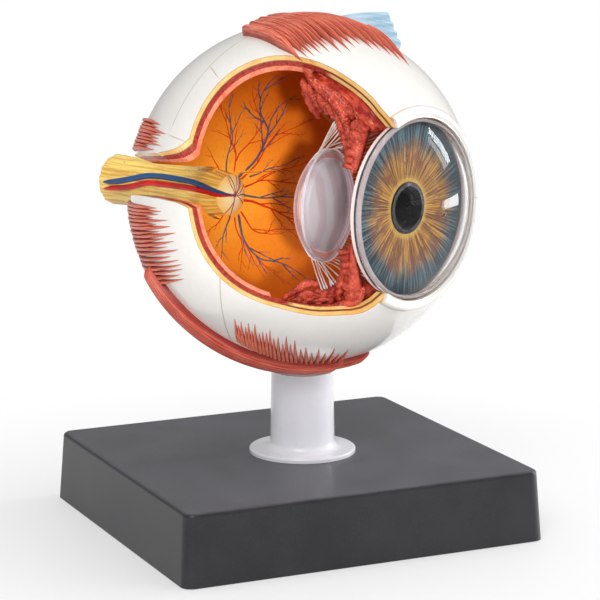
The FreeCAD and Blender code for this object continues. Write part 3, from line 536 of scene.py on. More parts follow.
def paint_choroid():
    """Dark red, but for a yellow band with a dark line where its cut runs forward to the iris."""
    p = Paint("choroid red", Coat_Weight=0.4, Coat_Roughness=0.25)
    tree = p.tree
    tone, cloud = p.mottle((0.26, 0.008, 0.008), (0.50, 0.06, 0.035), 700.0, 2600.0, 1.0)
    eye = p.eye_space()
    forward = ease(tree, p.split(eye)[0], 33.0, 37.0)
    out = wire(tree, "VectorMath", {0: eye}, operation="LENGTH").outputs["Value"]
    on_cut = maths(tree, "SUBTRACT", 1.0, ease(tree, maths(tree, "ABSOLUTE", p.facing()), 0.5, 0.8))
    yellow, _ = p.mottle(paints().cut_yellow, (0.90, 0.64, 0.26), 120.0, 900.0, 1.0)
    band = mix(tree, ease(tree, out, 71.2, 71.7), yellow, (0.12, 0.025, 0.01))
    tone = mix(tree, maths(tree, "MULTIPLY", on_cut, forward), tone, band)
    return p.feed(Base_Color=tone, Roughness=maths(p.tree, "MULTIPLY_ADD", cloud, 0.2, 0.32),
                  Normal=bump(p.tree, p.grain(1500.0, 500.0, 1.0), 0.0005, 0.8))


def paint_retina():
    """Orange inside, brightest round the nerve's head and darkest towards the front, partly airbrushed
    tone and partly painted glow and painted shade; pink on its cut.
    """
    p = Paint("retina orange", Coat_Weight=0.0, Specular_IOR_Level=0.10)
    tree = p.tree
    eye = p.eye_space()
    away = wire(tree, "VectorMath", {0: eye, 1: (-60.0, 17.0, -8.0)}, operation="DISTANCE")
    cloud = noise(tree, p.point, 45.0, 5.0)
    reach = maths(tree, "MULTIPLY_ADD", cloud, 30.0, away.outputs["Value"])
    # The ramp is partly the airbrushed orange and partly painted light: a painted glow round the
    # nerve's head and painted shade towards the front of the cup.
    glow_and_shade_ramp = tree.nodes.new("ShaderNodeValToRGB")
    tree.links.new(maths(tree, "DIVIDE", reach, 130.0), glow_and_shade_ramp.inputs[0])
    glow_and_shade_stops = ((0.12, (1.0, 0.44, 0.045)), (0.32, (0.95, 0.28, 0.02)), (0.58, (0.72, 0.13, 0.008)),
             (0.84, (0.34, 0.040, 0.004)), (1.0, (0.12, 0.012, 0.003)))
    for number, (at, tone) in enumerate(glow_and_shade_stops):
        stop = glow_and_shade_ramp.color_ramp.elements[number] if number < 2 else glow_and_shade_ramp.color_ramp.elements.new(at)
        stop.position = at
        stop.color = rgba(tone)
    speck = noise(tree, p.point, 900.0, 3.0)
    tone = mix(tree, maths(tree, "MULTIPLY", ease(tree, speck, 0.5, 0.7), 0.22),
               glow_and_shade_ramp.outputs[0], (0.55, 0.10, 0.01))
    facing = p.facing()
    on_cut = ease(tree, facing, -0.75, -0.35)
    pink, _ = p.mottle((0.78, 0.17, 0.09), (0.90, 0.33, 0.20), 300.0, 1200.0, 1.0)
    tone = mix(tree, on_cut, tone, pink)
    return p.feed(Base_Color=tone, Roughness=maths(tree, "MULTIPLY_ADD", speck, 0.2, 0.42),
                  Normal=bump(tree, p.grain(800.0, 70.0, 1.5), 0.0002, 0.4))


def lengthwise(p, across, along):
    """Fine lines that run the length of a strand, from its own unwrapped coordinates."""
    return noise(p.tree, p.stretched(p.uv, (across, along, 1.0)), 1.0, 4.0, 0.6)


def paint_muscle(name="muscle red", deep=1.0):
    """Red with painted highlights along its crests and painted shade in its grooves; deep below 1
    darkens every tone.
    """
    p = Paint(name, Coat_Weight=0.14, Coat_Roughness=0.2, Specular_IOR_Level=0.3)
    tree = p.tree
    main = [paints().muscle[0] * deep] + [v * deep ** 2 for v in paints().muscle[1:]]
    pale = [paints().muscle_highlight[0] * deep ** 0.5] + [v * deep ** 2 for v in paints().muscle_highlight[1:]]
    lines = lengthwise(p, 26.0, 5.0)
    cloud = noise(tree, p.point, 130.0, 4.0)
    # Pale streaks are painted highlights along the fibres' crests, dark streaks painted shade in the
    # grooves between them.
    tone = mix(tree, ease(tree, lines, 0.40, 0.64), main, pale)
    tone = mix(tree, ease(tree, lines, 0.44, 0.30), tone, paints().muscle_groove_shade)
    tone = mix(tree, maths(tree, "MULTIPLY", ease(tree, cloud, 0.5, 0.8), 0.4), tone,
               [v * 0.8 for v in main])
    # Painted shade from the groove attribute: dark down the strands' flanks and over the pad beneath
    # them.
    groove_shade = wire(tree, "Attribute", attribute_name="groove_shade").outputs["Fac"]
    tone = mix(tree, groove_shade, tone, paints().muscle_groove_shade)
    rough = maths(tree, "MULTIPLY_ADD", cloud, 0.2, 0.32)
    return p.feed(Base_Color=tone, Roughness=rough, Normal=bump(tree, lines, 0.0006, 0.7))


def paint_ciliary():
    p = Paint("ciliary red", Coat_Weight=0.25, Coat_Roughness=0.14, Specular_IOR_Level=0.3)
    tree = p.tree
    cloud = noise(tree, p.point, 210.0, 5.0, 0.6)
    lines = lengthwise(p, 14.0, 60.0)
    tone = mix(tree, ease(tree, cloud, 0.38, 0.62), (0.30, 0.012, 0.007), (0.62, 0.075, 0.040))
    # Pale strokes are painted highlights on the folds' crests; the dark strokes below and the groove
    # attribute are painted shade in their creases.
    tone = mix(tree, maths(tree, "MULTIPLY", ease(tree, lines, 0.54, 0.66), 0.75), tone,
               (0.86, 0.28, 0.15))
    tone = mix(tree, maths(tree, "MULTIPLY", ease(tree, lines, 0.44, 0.36), 0.8), tone,
               (0.13, 0.005, 0.003))
    groove_shade = wire(tree, "Attribute", attribute_name="groove_shade").outputs["Fac"]
    tone = mix(tree, groove_shade, tone, (0.07, 0.003, 0.002))
    height = maths(tree, "MULTIPLY_ADD", lines, 0.5, cloud)
    return p.feed(Base_Color=tone, Roughness=maths(tree, "MULTIPLY_ADD", cloud, 0.25, 0.2),
                  Normal=bump(tree, height, 0.0012, 0.8))


def paint_iris():
    """Radial strokes: gold round the pupil, brown flecks, blue-grey outside, a dark rim."""
    p = Paint("iris strokes", Coat_Weight=0.0, Specular_IOR_Level=0.12)
    tree = p.tree
    _, y, z = p.split(p.eye_space())
    out = maths(tree, "SQRT", maths(tree, "MULTIPLY_ADD", y, y, maths(tree, "MULTIPLY", z, z)))
    cosine, sine = maths(tree, "DIVIDE", y, out), maths(tree, "DIVIDE", z, out)

    def streaks(around, along, detail=4.0):
        vector = wire(tree, "CombineXYZ", {
            0: maths(tree, "MULTIPLY", cosine, around), 1: maths(tree, "MULTIPLY", sine, around),
            2: maths(tree, "MULTIPLY", out, along)}).outputs[0]
        return noise(tree, vector, 1.0, detail, 0.65)

    broad, fine, fleck = streaks(4.0, 0.035), streaks(22.0, 0.05, 5.0), streaks(5.0, 0.16)
    hair = streaks(48.0, 0.04, 3.0)
    ragged = maths(tree, "MULTIPLY_ADD", maths(tree, "SUBTRACT", fine, 0.5), 13.0,
                   maths(tree, "MULTIPLY_ADD", maths(tree, "SUBTRACT", broad, 0.5), 14.0, out))
    blue = mix(tree, ease(tree, hair, 0.45, 0.60), (0.008, 0.020, 0.030), (0.080, 0.155, 0.185))
    gold = mix(tree, ease(tree, hair, 0.44, 0.58), (0.085, 0.026, 0.007), (0.50, 0.25, 0.040))
    tone = mix(tree, ease(tree, ragged, 20.5, 31.5), gold, blue)
    tone = mix(tree, maths(tree, "MULTIPLY", ease(tree, fine, 0.60, 0.72), 0.34), tone,
               (0.50, 0.42, 0.20))
    brown = maths(tree, "MULTIPLY", ease(tree, fleck, 0.50, 0.60), ease(tree, out, 14.0, 19.0))
    brown = maths(tree, "MULTIPLY", brown, ease(tree, out, 33.0, 25.0))
    tone = mix(tree, maths(tree, "MULTIPLY", brown, 0.85), tone, (0.15, 0.045, 0.022))
    pale = ease(tree, out, 14.5, 11.6)
    tone = mix(tree, maths(tree, "MULTIPLY", pale, 0.6), tone, (0.66, 0.42, 0.10))
    tone = mix(tree, maths(tree, "MULTIPLY", ease(tree, out, 32.0, 37.0), 0.8), tone,
               (0.016, 0.021, 0.032))
    tone = mix(tree, ease(tree, out, 37.7, 37.95), tone, (0.80, 0.62, 0.58))
    height = maths(tree, "MULTIPLY_ADD", hair, 0.6, fine)
    return p.feed(Base_Color=tone, Roughness=maths(tree, "MULTIPLY_ADD", fine, 0.25, 0.28),
                  Normal=bump(tree, height, 0.0007, 0.6))


def paint_pupil():
    return plain_paint("pupil black", ((0.004, 0.004, 0.005), (0.009, 0.009, 0.011)),
                       (60.0, 900.0, 1.0), (0.2, 0.2), (500.0, 60.0, 1.0), (0.00005, 0.3),
                       Coat_Weight=0.08, Coat_Roughness=0.12, Specular_IOR_Level=0.12)


def paint_clear(name, tone, second, bend, rough, through=1.0, coat=0.2):
    """Clear acrylic with the faint streaks of its casting."""
    return plain_paint(name, (tone, second), (25.0, 200.0, 1.0), (rough, 0.01),
                       (60.0, 25.0, 2.0), (0.00004, 0.2), IOR=bend, Transmission_Weight=through,
                       Coat_Weight=coat, Coat_Roughness=0.03)


def paint_capsule():
    """The lens's clear skin, with a painted glow where it is seen edge on, standing for the bright
    reflection of the glass's rim.
    """
    p = Paint("clear lens", IOR=1.03, Transmission_Weight=0.86, Coat_Weight=0.5, Coat_Roughness=0.03,
              Emission_Strength=1.0)
    tree = p.tree
    tone, cloud = p.mottle((1.0, 0.98, 1.0), (0.95, 0.93, 0.96), 25.0, 200.0, 1.0)
    # Painted light: emission that rises where the skin turns edge on, in place of a reflection.
    turned = wire(tree, "LayerWeight", {"Blend": 0.35}).outputs["Facing"]
    glow = mix(tree, ease(tree, turned, 0.45, 0.95), (0.02, 0.018, 0.02), (0.42, 0.38, 0.43))
    return p.feed(Base_Color=tone, Emission_Color=glow,
                  Roughness=maths(tree, "MULTIPLY_ADD", cloud, 0.03, 0.01),
                  Normal=bump(tree, p.grain(60.0, 25.0, 2.0), 0.00004, 0.2))


def paint_core():
    """The milky, mauve kernel of the lens, in upright bands of white and of brownish mauve: painted
    highlights and the painted colour of the wall seen through it, over its own milky tone.
    """
    p = Paint("lens core", IOR=1.05, Transmission_Weight=0.42, Coat_Weight=0.7, Coat_Roughness=0.06)
    tree = p.tree
    _, y, _ = p.split(p.eye_space())
    cloud = noise(tree, p.point, 60.0, 3.0)
    across = maths(tree, "MULTIPLY_ADD", cloud, 5.0, y)
    # Painted light: the white bands are painted highlights, the brownish ones the wall seen through
    # the lens.
    band = maths(tree, "SINE", maths(tree, "MULTIPLY", across, 0.62))
    tone = mix(tree, ease(tree, band, -0.7, 0.7), (0.78, 0.62, 0.60), (1.0, 0.98, 0.99))
    return p.feed(Base_Color=tone, Roughness=maths(tree, "MULTIPLY_ADD", cloud, 0.2, 0.12),
                  Normal=bump(tree, p.grain(60.0, 25.0, 2.0), 0.00004, 0.2))


def paint_fibres():
    return plain_paint("fibre white", ((0.86, 0.82, 0.76), (0.74, 0.62, 0.54)),
                       (90.0, 800.0, 1.0), (0.2, 0.25), (900.0, 200.0, 1.0), (0.0001, 0.3),
                       Coat_Weight=0.5, Coat_Roughness=0.1)


def paint_nerve():
    p = Paint("nerve yellow", Coat_Weight=0.25, Coat_Roughness=0.3)
    tree = p.tree
    lines = lengthwise(p, 60.0, 3.0)
    fine = lengthwise(p, 150.0, 6.0)
    tone = mix(tree, ease(tree, lines, 0.38, 0.60), (0.64, 0.34, 0.05), paints().nerve)
    # The pale cream streaks are partly the fibres' own colour and partly painted highlight.
    tone = mix(tree, maths(tree, "MULTIPLY", ease(tree, fine, 0.55, 0.7), 0.6), tone,
               (1.0, 0.84, 0.40))
    speck = noise(tree, p.point, 700.0, 2.0)
    tone = mix(tree, maths(tree, "MULTIPLY", ease(tree, speck, 0.68, 0.74), 0.7), tone,
               (0.28, 0.12, 0.02))
    height = maths(tree, "MULTIPLY_ADD", fine, 0.4, lines)
    return p.feed(Base_Color=tone, Roughness=maths(tree, "MULTIPLY_ADD", lines, 0.2, 0.35),
                  Normal=bump(tree, height, 0.0006, 0.7))


def paint_disc():
    p = Paint("nerve head", Coat_Weight=0.3, Coat_Roughness=0.2)
    tree = p.tree
    _, y, z = p.split(p.eye_space())
    dy, dz = maths(tree, "SUBTRACT", y, 17.0), maths(tree, "ADD", z, 8.4)
    out = maths(tree, "SQRT", maths(tree, "MULTIPLY_ADD", dy, dy, maths(tree, "MULTIPLY", dz, dz)))
    cloud = noise(tree, p.point, 260.0, 4.0)
    reach = maths(tree, "MULTIPLY_ADD", cloud, 2.5, out)
    tone = mix(tree, ease(tree, reach, 3.0, 11.5), (1.0, 0.88, 0.50), (0.95, 0.62, 0.18))
    tone = mix(tree, ease(tree, out, 1.6, 0.5), tone, (0.25, 0.05, 0.01))
    return p.feed(Base_Color=tone, Roughness=maths(tree, "MULTIPLY_ADD", cloud, 0.2, 0.3),
                  Normal=bump(tree, p.grain(600.0, 150.0, 1.0), 0.0002, 0.4))


def paint_vessel(name, tone, second):
    return plain_paint(name, (tone, second), (200.0, 1500.0, 1.0), (0.2, 0.25),
                       (900.0, 200.0, 1.0), (0.0001, 0.4),
                       Coat_Weight=0.3, Coat_Roughness=0.12, Specular_IOR_Level=0.25)


def paint_tendon():
    p = Paint("tendon blue", Coat_Weight=0.3, Coat_Roughness=0.25)
    tree = p.tree
    lines = lengthwise(p, 18.0, 3.0)
    tone = mix(tree, ease(tree, lines, 0.35, 0.65), (0.26, 0.45, 0.60), (0.50, 0.66, 0.78))
    speck = noise(tree, p.point, 500.0, 2.0)
    tone = mix(tree, maths(tree, "MULTIPLY", ease(tree, speck, 0.66, 0.72), 0.5), tone,
               (0.25, 0.33, 0.38))
    return p.feed(Base_Color=tone, Roughness=maths(tree, "MULTIPLY_ADD", lines, 0.2, 0.35),
                  Normal=bump(tree, lines, 0.0006, 0.6))


def paint_metal():
    return plain_paint("plated steel", ((0.52, 0.53, 0.55), (0.62, 0.62, 0.62)),
                       (150.0, 2500.0, 1.0), (0.25, 0.22), (2500.0, 300.0, 0.5), (0.00005, 0.4),
                       Metallic=1.0)


def paint_rubber():
    return plain_paint("pad rubber", ((0.012, 0.012, 0.012), (0.03, 0.03, 0.03)),
                       (120.0, 2000.0, 0.8), (0.2, 0.65), (2500.0, 200.0, 0.5), (0.0002, 0.5),
                       Specular_IOR_Level=0.25)


def make_finishes():
    GROUPS["mottle"] = make_mottle_group()
    GROUPS["grain"] = make_grain_group()
    GROUPS["radial"] = make_radial_group()
    made = {
        "base": paint_base(), "post": paint_post(), "shell": paint_shell(),
        "choroid": paint_choroid(), "retina": paint_retina(), "muscle": paint_muscle(),
        # The strap under the ball gets a darker copy of the muscle paint: painted shade.
        "strap": paint_muscle("strap shaded red", 0.80),
        "ciliary": paint_ciliary(), "iris": paint_iris(), "pupil": paint_pupil(),
        "cornea": paint_clear("clear cornea", (0.99, 0.99, 1.0), (0.96, 0.97, 0.99), 1.08, 0.02),
        "lens": paint_capsule(),
        # Both edge rings are painted light: the lens edge a pale painted highlight, the cornea edge a
        # pinkish painted reflection of the rim.
        "lens edge": paint_clear("lens edge", (0.97, 0.94, 0.98), (0.90, 0.86, 0.92), 1.05, 0.2, 0.5),
        "edge": paint_clear("cornea edge", (0.96, 0.88, 0.88), (0.90, 0.76, 0.74), 1.12, 0.2, 0.7),
        "core": paint_core(),
        "fibres": paint_fibres(), "nerve": paint_nerve(), "disc": paint_disc(),
        "artery": paint_vessel("artery red", paints().artery, (0.42, 0.01, 0.01)),
        "vein": paint_vessel("vein blue", paints().vein, (0.03, 0.06, 0.16)),
        "retina vein": paint_vessel("retina vein", (0.13, 0.12, 0.17), (0.07, 0.06, 0.12)),
        "retina artery": paint_vessel("retina artery", (0.68, 0.025, 0.010), (0.55, 0.05, 0.01)),
        "tendon": paint_tendon(), "metal": paint_metal(), "rubber": paint_rubber(),
    }
    FINISHES.update(made)


NODE_FINISHES = {
    "base_shell": "base", "base_bottom_cover": "base", "rubber_feet": "rubber",
    "cover_screws": "metal", "stand_post": "post", "post_washer": "metal", "post_screw": "metal",
    "swivel_pin": "post", "pin_screw": "metal", "sclera_upper": "shell", "sclera_lower": "shell",
    "choroid_upper": "choroid", "choroid_lower": "choroid", "retina_upper": "retina",
    "retina_lower": "retina", "locating_pegs": "metal", "ciliary_body_upper": "ciliary",
    "ciliary_body_lower": "ciliary", "iris": "iris", "pupil_tube": "pupil", "cornea": "cornea",
    "lens_capsule": "lens", "lens_nucleus": "core", "zonule_fibres": "fibres",
    "optic_nerve": "nerve", "optic_disc": "disc", "central_artery": "artery",
    "central_vein": "vein", "superior_rectus": "muscle", "superior_oblique_tendon": "tendon",
    "lateral_rectus_upper": "muscle", "lateral_rectus_lower": "muscle",
    "medial_rectus_upper": "muscle", "medial_rectus_lower": "muscle",
    "inferior_rectus": "muscle", "inferior_oblique": "muscle",
}


class EYE_OT_finishes(bpy.types.Operator):
    """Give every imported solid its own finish."""
    bl_idname = "eye.finishes"
    bl_label = "Finish the solids"

    def execute(self, context):
        make_finishes()
        for node, finish in NODE_FINISHES.items():
            materials = NODES[node].data.materials
            materials.clear()
            materials.append(FINISHES[finish])
        return {"FINISHED"}


# --- muscles ---

def on_ball(turn, height):
    """Direction at an angle round the vertical axis and a height above the ball's equator."""
    a, e = math.radians(turn), math.radians(height)
    return np.array([math.cos(e) * math.cos(a), math.cos(e) * math.sin(a), math.sin(e)])


def arc(root, tip, bow=0.0):
    """A path over the ball from one direction to another, bowed to one side by a share."""
    root, tip = unit(root), unit(tip)
    side = unit(np.cross(root, tip))

    def path(along):
        return unit(root * (1 - along) + tip * along + side * bow * math.sin(math.pi * along))
    return path


def along_edge(points, share):
    return spline(points, share) if len(points) > 2 else (
        np.asarray(points[0], float) * (1 - share) + np.asarray(points[1], float) * share)


def comb(roots, tips, number, half_width, height, seed, bow=0.0, ragged=0.10, lip=None,
         taper=0.45, rings=34, segments=14, short=0.0):
    """Strands side by side, from points along one edge to points along the other.

    lip makes the first strand stouter, as the rolled edge of the muscle.  short draws every
    other tip back by a share of its length.
    """
    dice = random.Random(seed)
    strands = []
    for k in range(number):
        share = k / (number - 1)
        root, tip = along_edge(roots, share), along_edge(tips, share)
        reach = 1.0 - ragged * dice.random() - (short if k % 2 else 0.0)
        tip = np.asarray(root) + (np.asarray(tip) - np.asarray(root)) * reach
        wide = half_width * (0.88 + 0.24 * dice.random())
        tall = height * (0.90 + 0.18 * dice.random())
        start = taper + 0.10 * (dice.random() - 0.5)
        if lip and k == 0:
            wide, tall, start = half_width * lip[0], height * lip[1], lip[2]
        strands.append(strand(arc(root, tip, bow + 0.006 * (dice.random() - 0.5)), wide, tall,
                              rings, segments, ridges=6, ridge_depth=0.05, taper=start))
    return strands


def slab(roots, tips, height, reach=0.72, rings=26, segments=40, floor=STRAND_FLOOR, edge=1.0):
    """The body of a muscle under its strands: a low pad that thins out towards the tips."""
    def place(along, around):
        share = 0.5 - 0.5 * math.cos(around) * edge
        root, tip = along_edge(roots, share), along_edge(tips, share)
        here = unit(unit(root) * (1 - along * reach) + unit(tip) * along * reach)
        swell = math.sqrt(min(1.0, along / 0.08)) if along < 0.08 else 1.0
        fall = 1.0 - smooth(0.45, 1.0, along)
        up = math.sin(around)
        full = min(1.0, 2.2 * abs(up))
        rise = height * swell * fall * (full if up > 0 else -0.1 * full)
        if along <= 0.0 or along >= 1.0:
            middle = along_edge(roots if along <= 0.0 else tips, 0.5)
            here = unit(middle) if along <= 0.0 else unit(
                unit(along_edge(roots, 0.5)) * (1 - reach) + unit(middle) * reach)
        return here * (floor + rise)

    # Painted shade: the whole pad is darkened, as it lies low under and between the strands.
    def shade(along, around):
        return 0.85
    return pod(place, rings, segments, shade)


SUPERIOR_ROOTS = [(-14.5, -21.5, 70.0), (-17.5, -6.0, 72.6), (-18.0, 8.0, 72.4), (-16.0, 22.0, 69.8)]
SUPERIOR_TIPS = [(29.0, -32.0, 61.5), (36.0, -23.0, 62.0), (40.0, -8.0, 62.8), (44.0, 6.0, 60.5),
                 (50.0, 18.0, 53.0)]
LATERAL_UPPER_ROOTS = [(-152.0, 12.6), (-153.0, 22.5)]
LATERAL_UPPER_TIPS = [(-106.0, 18.9), (-99.5, 22.0), (-105.0, 26.5)]
LATERAL_LOWER_ROOTS = [(-150.0, -3.6), (-152.0, -27.0)]
LATERAL_LOWER_TIPS = [(-93.0, 1.8), (-89.0, -6.0), (-83.0, -18.0)]
MEDIAL_UPPER_ROOTS = [(106.0, 2.0), (104.0, 17.0)]
MEDIAL_UPPER_TIPS = [(33.0, 2.2), (36.0, 14.0), (42.0, 25.0)]
MEDIAL_LOWER_ROOTS = [(106.0, -2.0), (104.0, -15.0)]
MEDIAL_LOWER_TIPS = [(33.0, -2.2), (36.0, -10.0), (44.0, -19.0)]
OBLIQUE_LINE = [(-36.0, -60.0, -27.0), (-25.0, -55.5, -43.5), (-8.0, -43.0, -61.0),
                (10.0, -24.0, -70.5), (25.0, -3.0, -70.6)]
OBLIQUE_TAIL = [(6.0, -24.0, -70.0), (20.0, -10.0, -71.5), (31.0, 7.0, -67.5)]
INFERIOR_ROOTS = [(5.0, -47.5, -57.8), (10.5, -37.5, -64.0), (17.0, -24.0, -69.0),
                  (27.0, -9.0, -69.4)]
INFERIOR_TIPS = [(15.0, -62.5, -38.5), (25.0, -60.0, -38.0), (32.0, -53.5, -42.0),
                 (37.0, -42.0, -50.0), (46.0, -21.0, -56.0)]


def angles_to_points(pairs):
    return [tuple(on_ball(turn, height) * BALL_RADIUS) for turn, height in pairs]


class EYE_OT_superior_rectus(bpy.types.Operator):
    """Lay the upper muscle's strands over the top of the ball."""
    bl_idname = "eye.superior_rectus"
    bl_label = "Upper muscle"

    def execute(self, context):
        strands = comb(SUPERIOR_ROOTS, SUPERIOR_TIPS, sizes().strand_count, 0.98, 4.4, 11,
                       lip=(2.2, 1.10, 0.66), taper=0.50, rings=40, segments=12, short=0.10)
        strands.append(slab(SUPERIOR_ROOTS, SUPERIOR_TIPS, 3.3, reach=0.78))
        piece = joined("superior_rectus_strands", strands)
        dress(piece, FINISHES["muscle"], "upper_half", "muscle_paint", "superior_rectus")
        return {"FINISHED"}


class EYE_OT_side_muscles(bpy.types.Operator):
    """Lay the strands of the two side muscles, each in an upper and a lower part."""
    bl_idname = "eye.side_muscles"
    bl_label = "Side muscles"

    def execute(self, context):
        for name, body, roots, tips, number, node, seed in (
                ("lateral_rectus_upper_strands", "upper_half", LATERAL_UPPER_ROOTS,
                 LATERAL_UPPER_TIPS, 9, "lateral_rectus_upper", 21),
                ("lateral_rectus_lower_strands", "eyeball", LATERAL_LOWER_ROOTS,
                 LATERAL_LOWER_TIPS, 19, "lateral_rectus_lower", 22),
                ("medial_rectus_upper_strands", "upper_half", MEDIAL_UPPER_ROOTS,
                 MEDIAL_UPPER_TIPS, 9, "medial_rectus_upper", 23),
                ("medial_rectus_lower_strands", "eyeball", MEDIAL_LOWER_ROOTS,
                 MEDIAL_LOWER_TIPS, 8, "medial_rectus_lower", 24)):
            roots, tips = angles_to_points(roots), angles_to_points(tips)
            strands = comb(roots, tips, number, 1.04, 2.3, seed, taper=0.56, short=0.08,
                           ragged=0.14)
            strands.append(slab(roots, tips, 1.5, reach=0.50))
            piece = joined(name, strands)
            dress(piece, FINISHES["muscle"], body, "muscle_paint", node)
        return {"FINISHED"}


def strap_strand(line, offset, half_width, height, seed, floor=STRAP_FLOOR, blunt=0.05, end=0.06,
                 rings=44, segments=14, lift=0.0):
    """One lengthwise strand of a strap, offset sideways from the strap's line."""
    dice = random.Random(seed)
    phase = dice.random() * 6.0

    def path(along):
        return unit(spline(line, min(1.0, max(0.0, along))))

    def place(along, around):
        here = path(along)
        forward = unit(path(along + 0.01) - path(along - 0.01))
        side = unit(np.cross(here, forward))
        swell = math.sqrt(min(1.0, along / blunt)) * math.sqrt(min(1.0, (1.0 - along) / end))
        spread = 0.78 + 0.30 * smooth(0.0, 0.3, along)
        sway = 0.25 * math.sin(7.0 * along + phase)
        up = math.sin(around)
        rise = height * swell * (abs(up) ** 0.7 if up > 0 else -0.15 * abs(up))
        rise *= 1.0 + (0.04 * math.cos(5.0 * around) if up > 0 else 0.0)
        across = (offset * spread + sway) + math.cos(around) * half_width * swell * spread
        return here * (floor + lift + rise) + side * across

    return pod(place, rings, segments, flank_shade)


class EYE_OT_lower_muscles(bpy.types.Operator):
    """Wrap the slanting strap under the ball and fan the lower muscle's spikes above it."""
    bl_idname = "eye.lower_muscles"
    bl_label = "Lower muscles"

    def execute(self, context):
        strands = [strap_strand(OBLIQUE_LINE, (k - 3) * 2.35, 1.75, 5.0 - 0.10 * (k - 3) ** 2,
                                31 + k) for k in range(7)]
        strands += [strap_strand(OBLIQUE_TAIL, (k - 2) * 2.3, 1.8, 3.8 - 0.1 * (k - 2) ** 2,
                                 41 + k, end=0.12) for k in range(5)]
        piece = joined("inferior_oblique_strands", strands)
        dress(piece, FINISHES["strap"], "eyeball", "muscle_paint", "inferior_oblique")
        spikes = comb(INFERIOR_ROOTS, INFERIOR_TIPS, 25, 1.0, 1.6, 51, taper=0.18, rings=24,
                      segments=10, ragged=0.16, short=0.14)
        piece = joined("inferior_rectus_spikes", spikes)
        dress(piece, FINISHES["muscle"], "eyeball", "muscle_paint", "inferior_rectus")
        return {"FINISHED"}


TENDON_ROOT = (5.0, 9.0, 73.6)
TENDON_RUN = (0.565, 0.825, 0.0)


class EYE_OT_tendon(bpy.types.Operator):
    """Fan the blue tendon's ribs out from under the upper muscle."""
    bl_idname = "eye.tendon"
    bl_label = "Blue tendon"

    def execute(self, context):
        run = unit(TENDON_RUN)
        across = np.cross(run, (0.0, 0.0, 1.0))
        ribs = []
        for k in range(4):
            start = np.asarray(TENDON_ROOT) + across * k * 0.8 - np.array([0, 0, 0.5 * k])
            end = (np.asarray(TENDON_ROOT) + run * (29.5 + 1.0 * k) + across * 2.0 * k
                   + np.array([0.0, 0.0, 1.4 - 3.9 * k]))
            axis = unit(end - start)
            side = unit(np.cross(axis, (0.0, 0.0, 1.0)))
            lift = np.cross(side, axis)

            def place(along, around, start=start, end=end, side=side, lift=lift, k=k):
                radius = 1.7 + 1.15 * along
                cap = math.sqrt(min(1.0, along / 0.04)) * math.sqrt(
                    max(0.0, 1.0 - (max(0.0, along - 0.93) / 0.07) ** 4))
                ridge = 1.0 + 0.07 * math.cos(5 * around + k)
                bow = lift * 1.4 * math.sin(math.pi * along)
                return (start + (end - start) * along + bow + (side * math.cos(around) * 1.15
                        + lift * math.sin(around)) * radius * cap * ridge)
            ribs.append(pod(place, 36, 24))
        piece = joined("superior_oblique_tendon_ribs", ribs)
        dress(piece, FINISHES["tendon"], "upper_half", "tendon_paint", "superior_oblique_tendon")
        return {"FINISHED"}


# --- limbs: tapering folds and vessels that follow a line through the ball's frame ---

def limb(points, radii, rings=36, segments=14, squash=1.0, lumps=0.0, waves=6.0, seed=0,
         facing=None, ridge=0.0):
    """A closed fold along a smooth line of points in mm, its radii spaced evenly along it.

    facing is the direction that the fold's crest looks in.  lumps makes its thickness uneven.
    """
    points = [np.asarray(p, float) for p in points]
    dice = random.Random(seed)
    phases = [dice.random() * 2 * math.pi for _ in range(3)]
    stations = np.linspace(0.0, 1.0, len(radii))

    def place(along, around):
        here = spline(points, min(1.0, along))
        forward = unit(spline(points, min(1.0, along + 0.01)) - spline(points, max(0.0, along - 0.01)))
        crest = np.asarray(facing if facing is not None else -unit(here), float)
        side = unit(np.cross(forward, crest))
        crest = np.cross(side, forward)
        cap = math.sqrt(min(1.0, along / 0.05)) * math.sqrt(max(0.0, min(1.0, (1.0 - along) / 0.05)))
        radius = float(np.interp(along, stations, radii)) * cap
        swing = math.sin(waves * 6.28 * along + phases[0] + 2.0 * math.sin(around + phases[1]))
        radius *= 1.0 + lumps * swing
        radius *= 1.0 + ridge * math.cos(5.0 * around + phases[2])
        return here + (side * math.cos(around) + crest * math.sin(around) * squash) * radius

    # Painted shade on the fold's underside, away from its crest.
    def shade(along, around):
        return 0.8 * smooth(0.2, -0.6, math.sin(around))
    return pod(place, rings, segments, shade)


def on_ring(x, out, clock):
    """A point at a distance along and out from the optic axis, at a clock angle, in mm."""
    c = math.radians(clock)
    return np.array([x, -out * math.cos(c), out * math.sin(c)])


# --- ciliary body ---

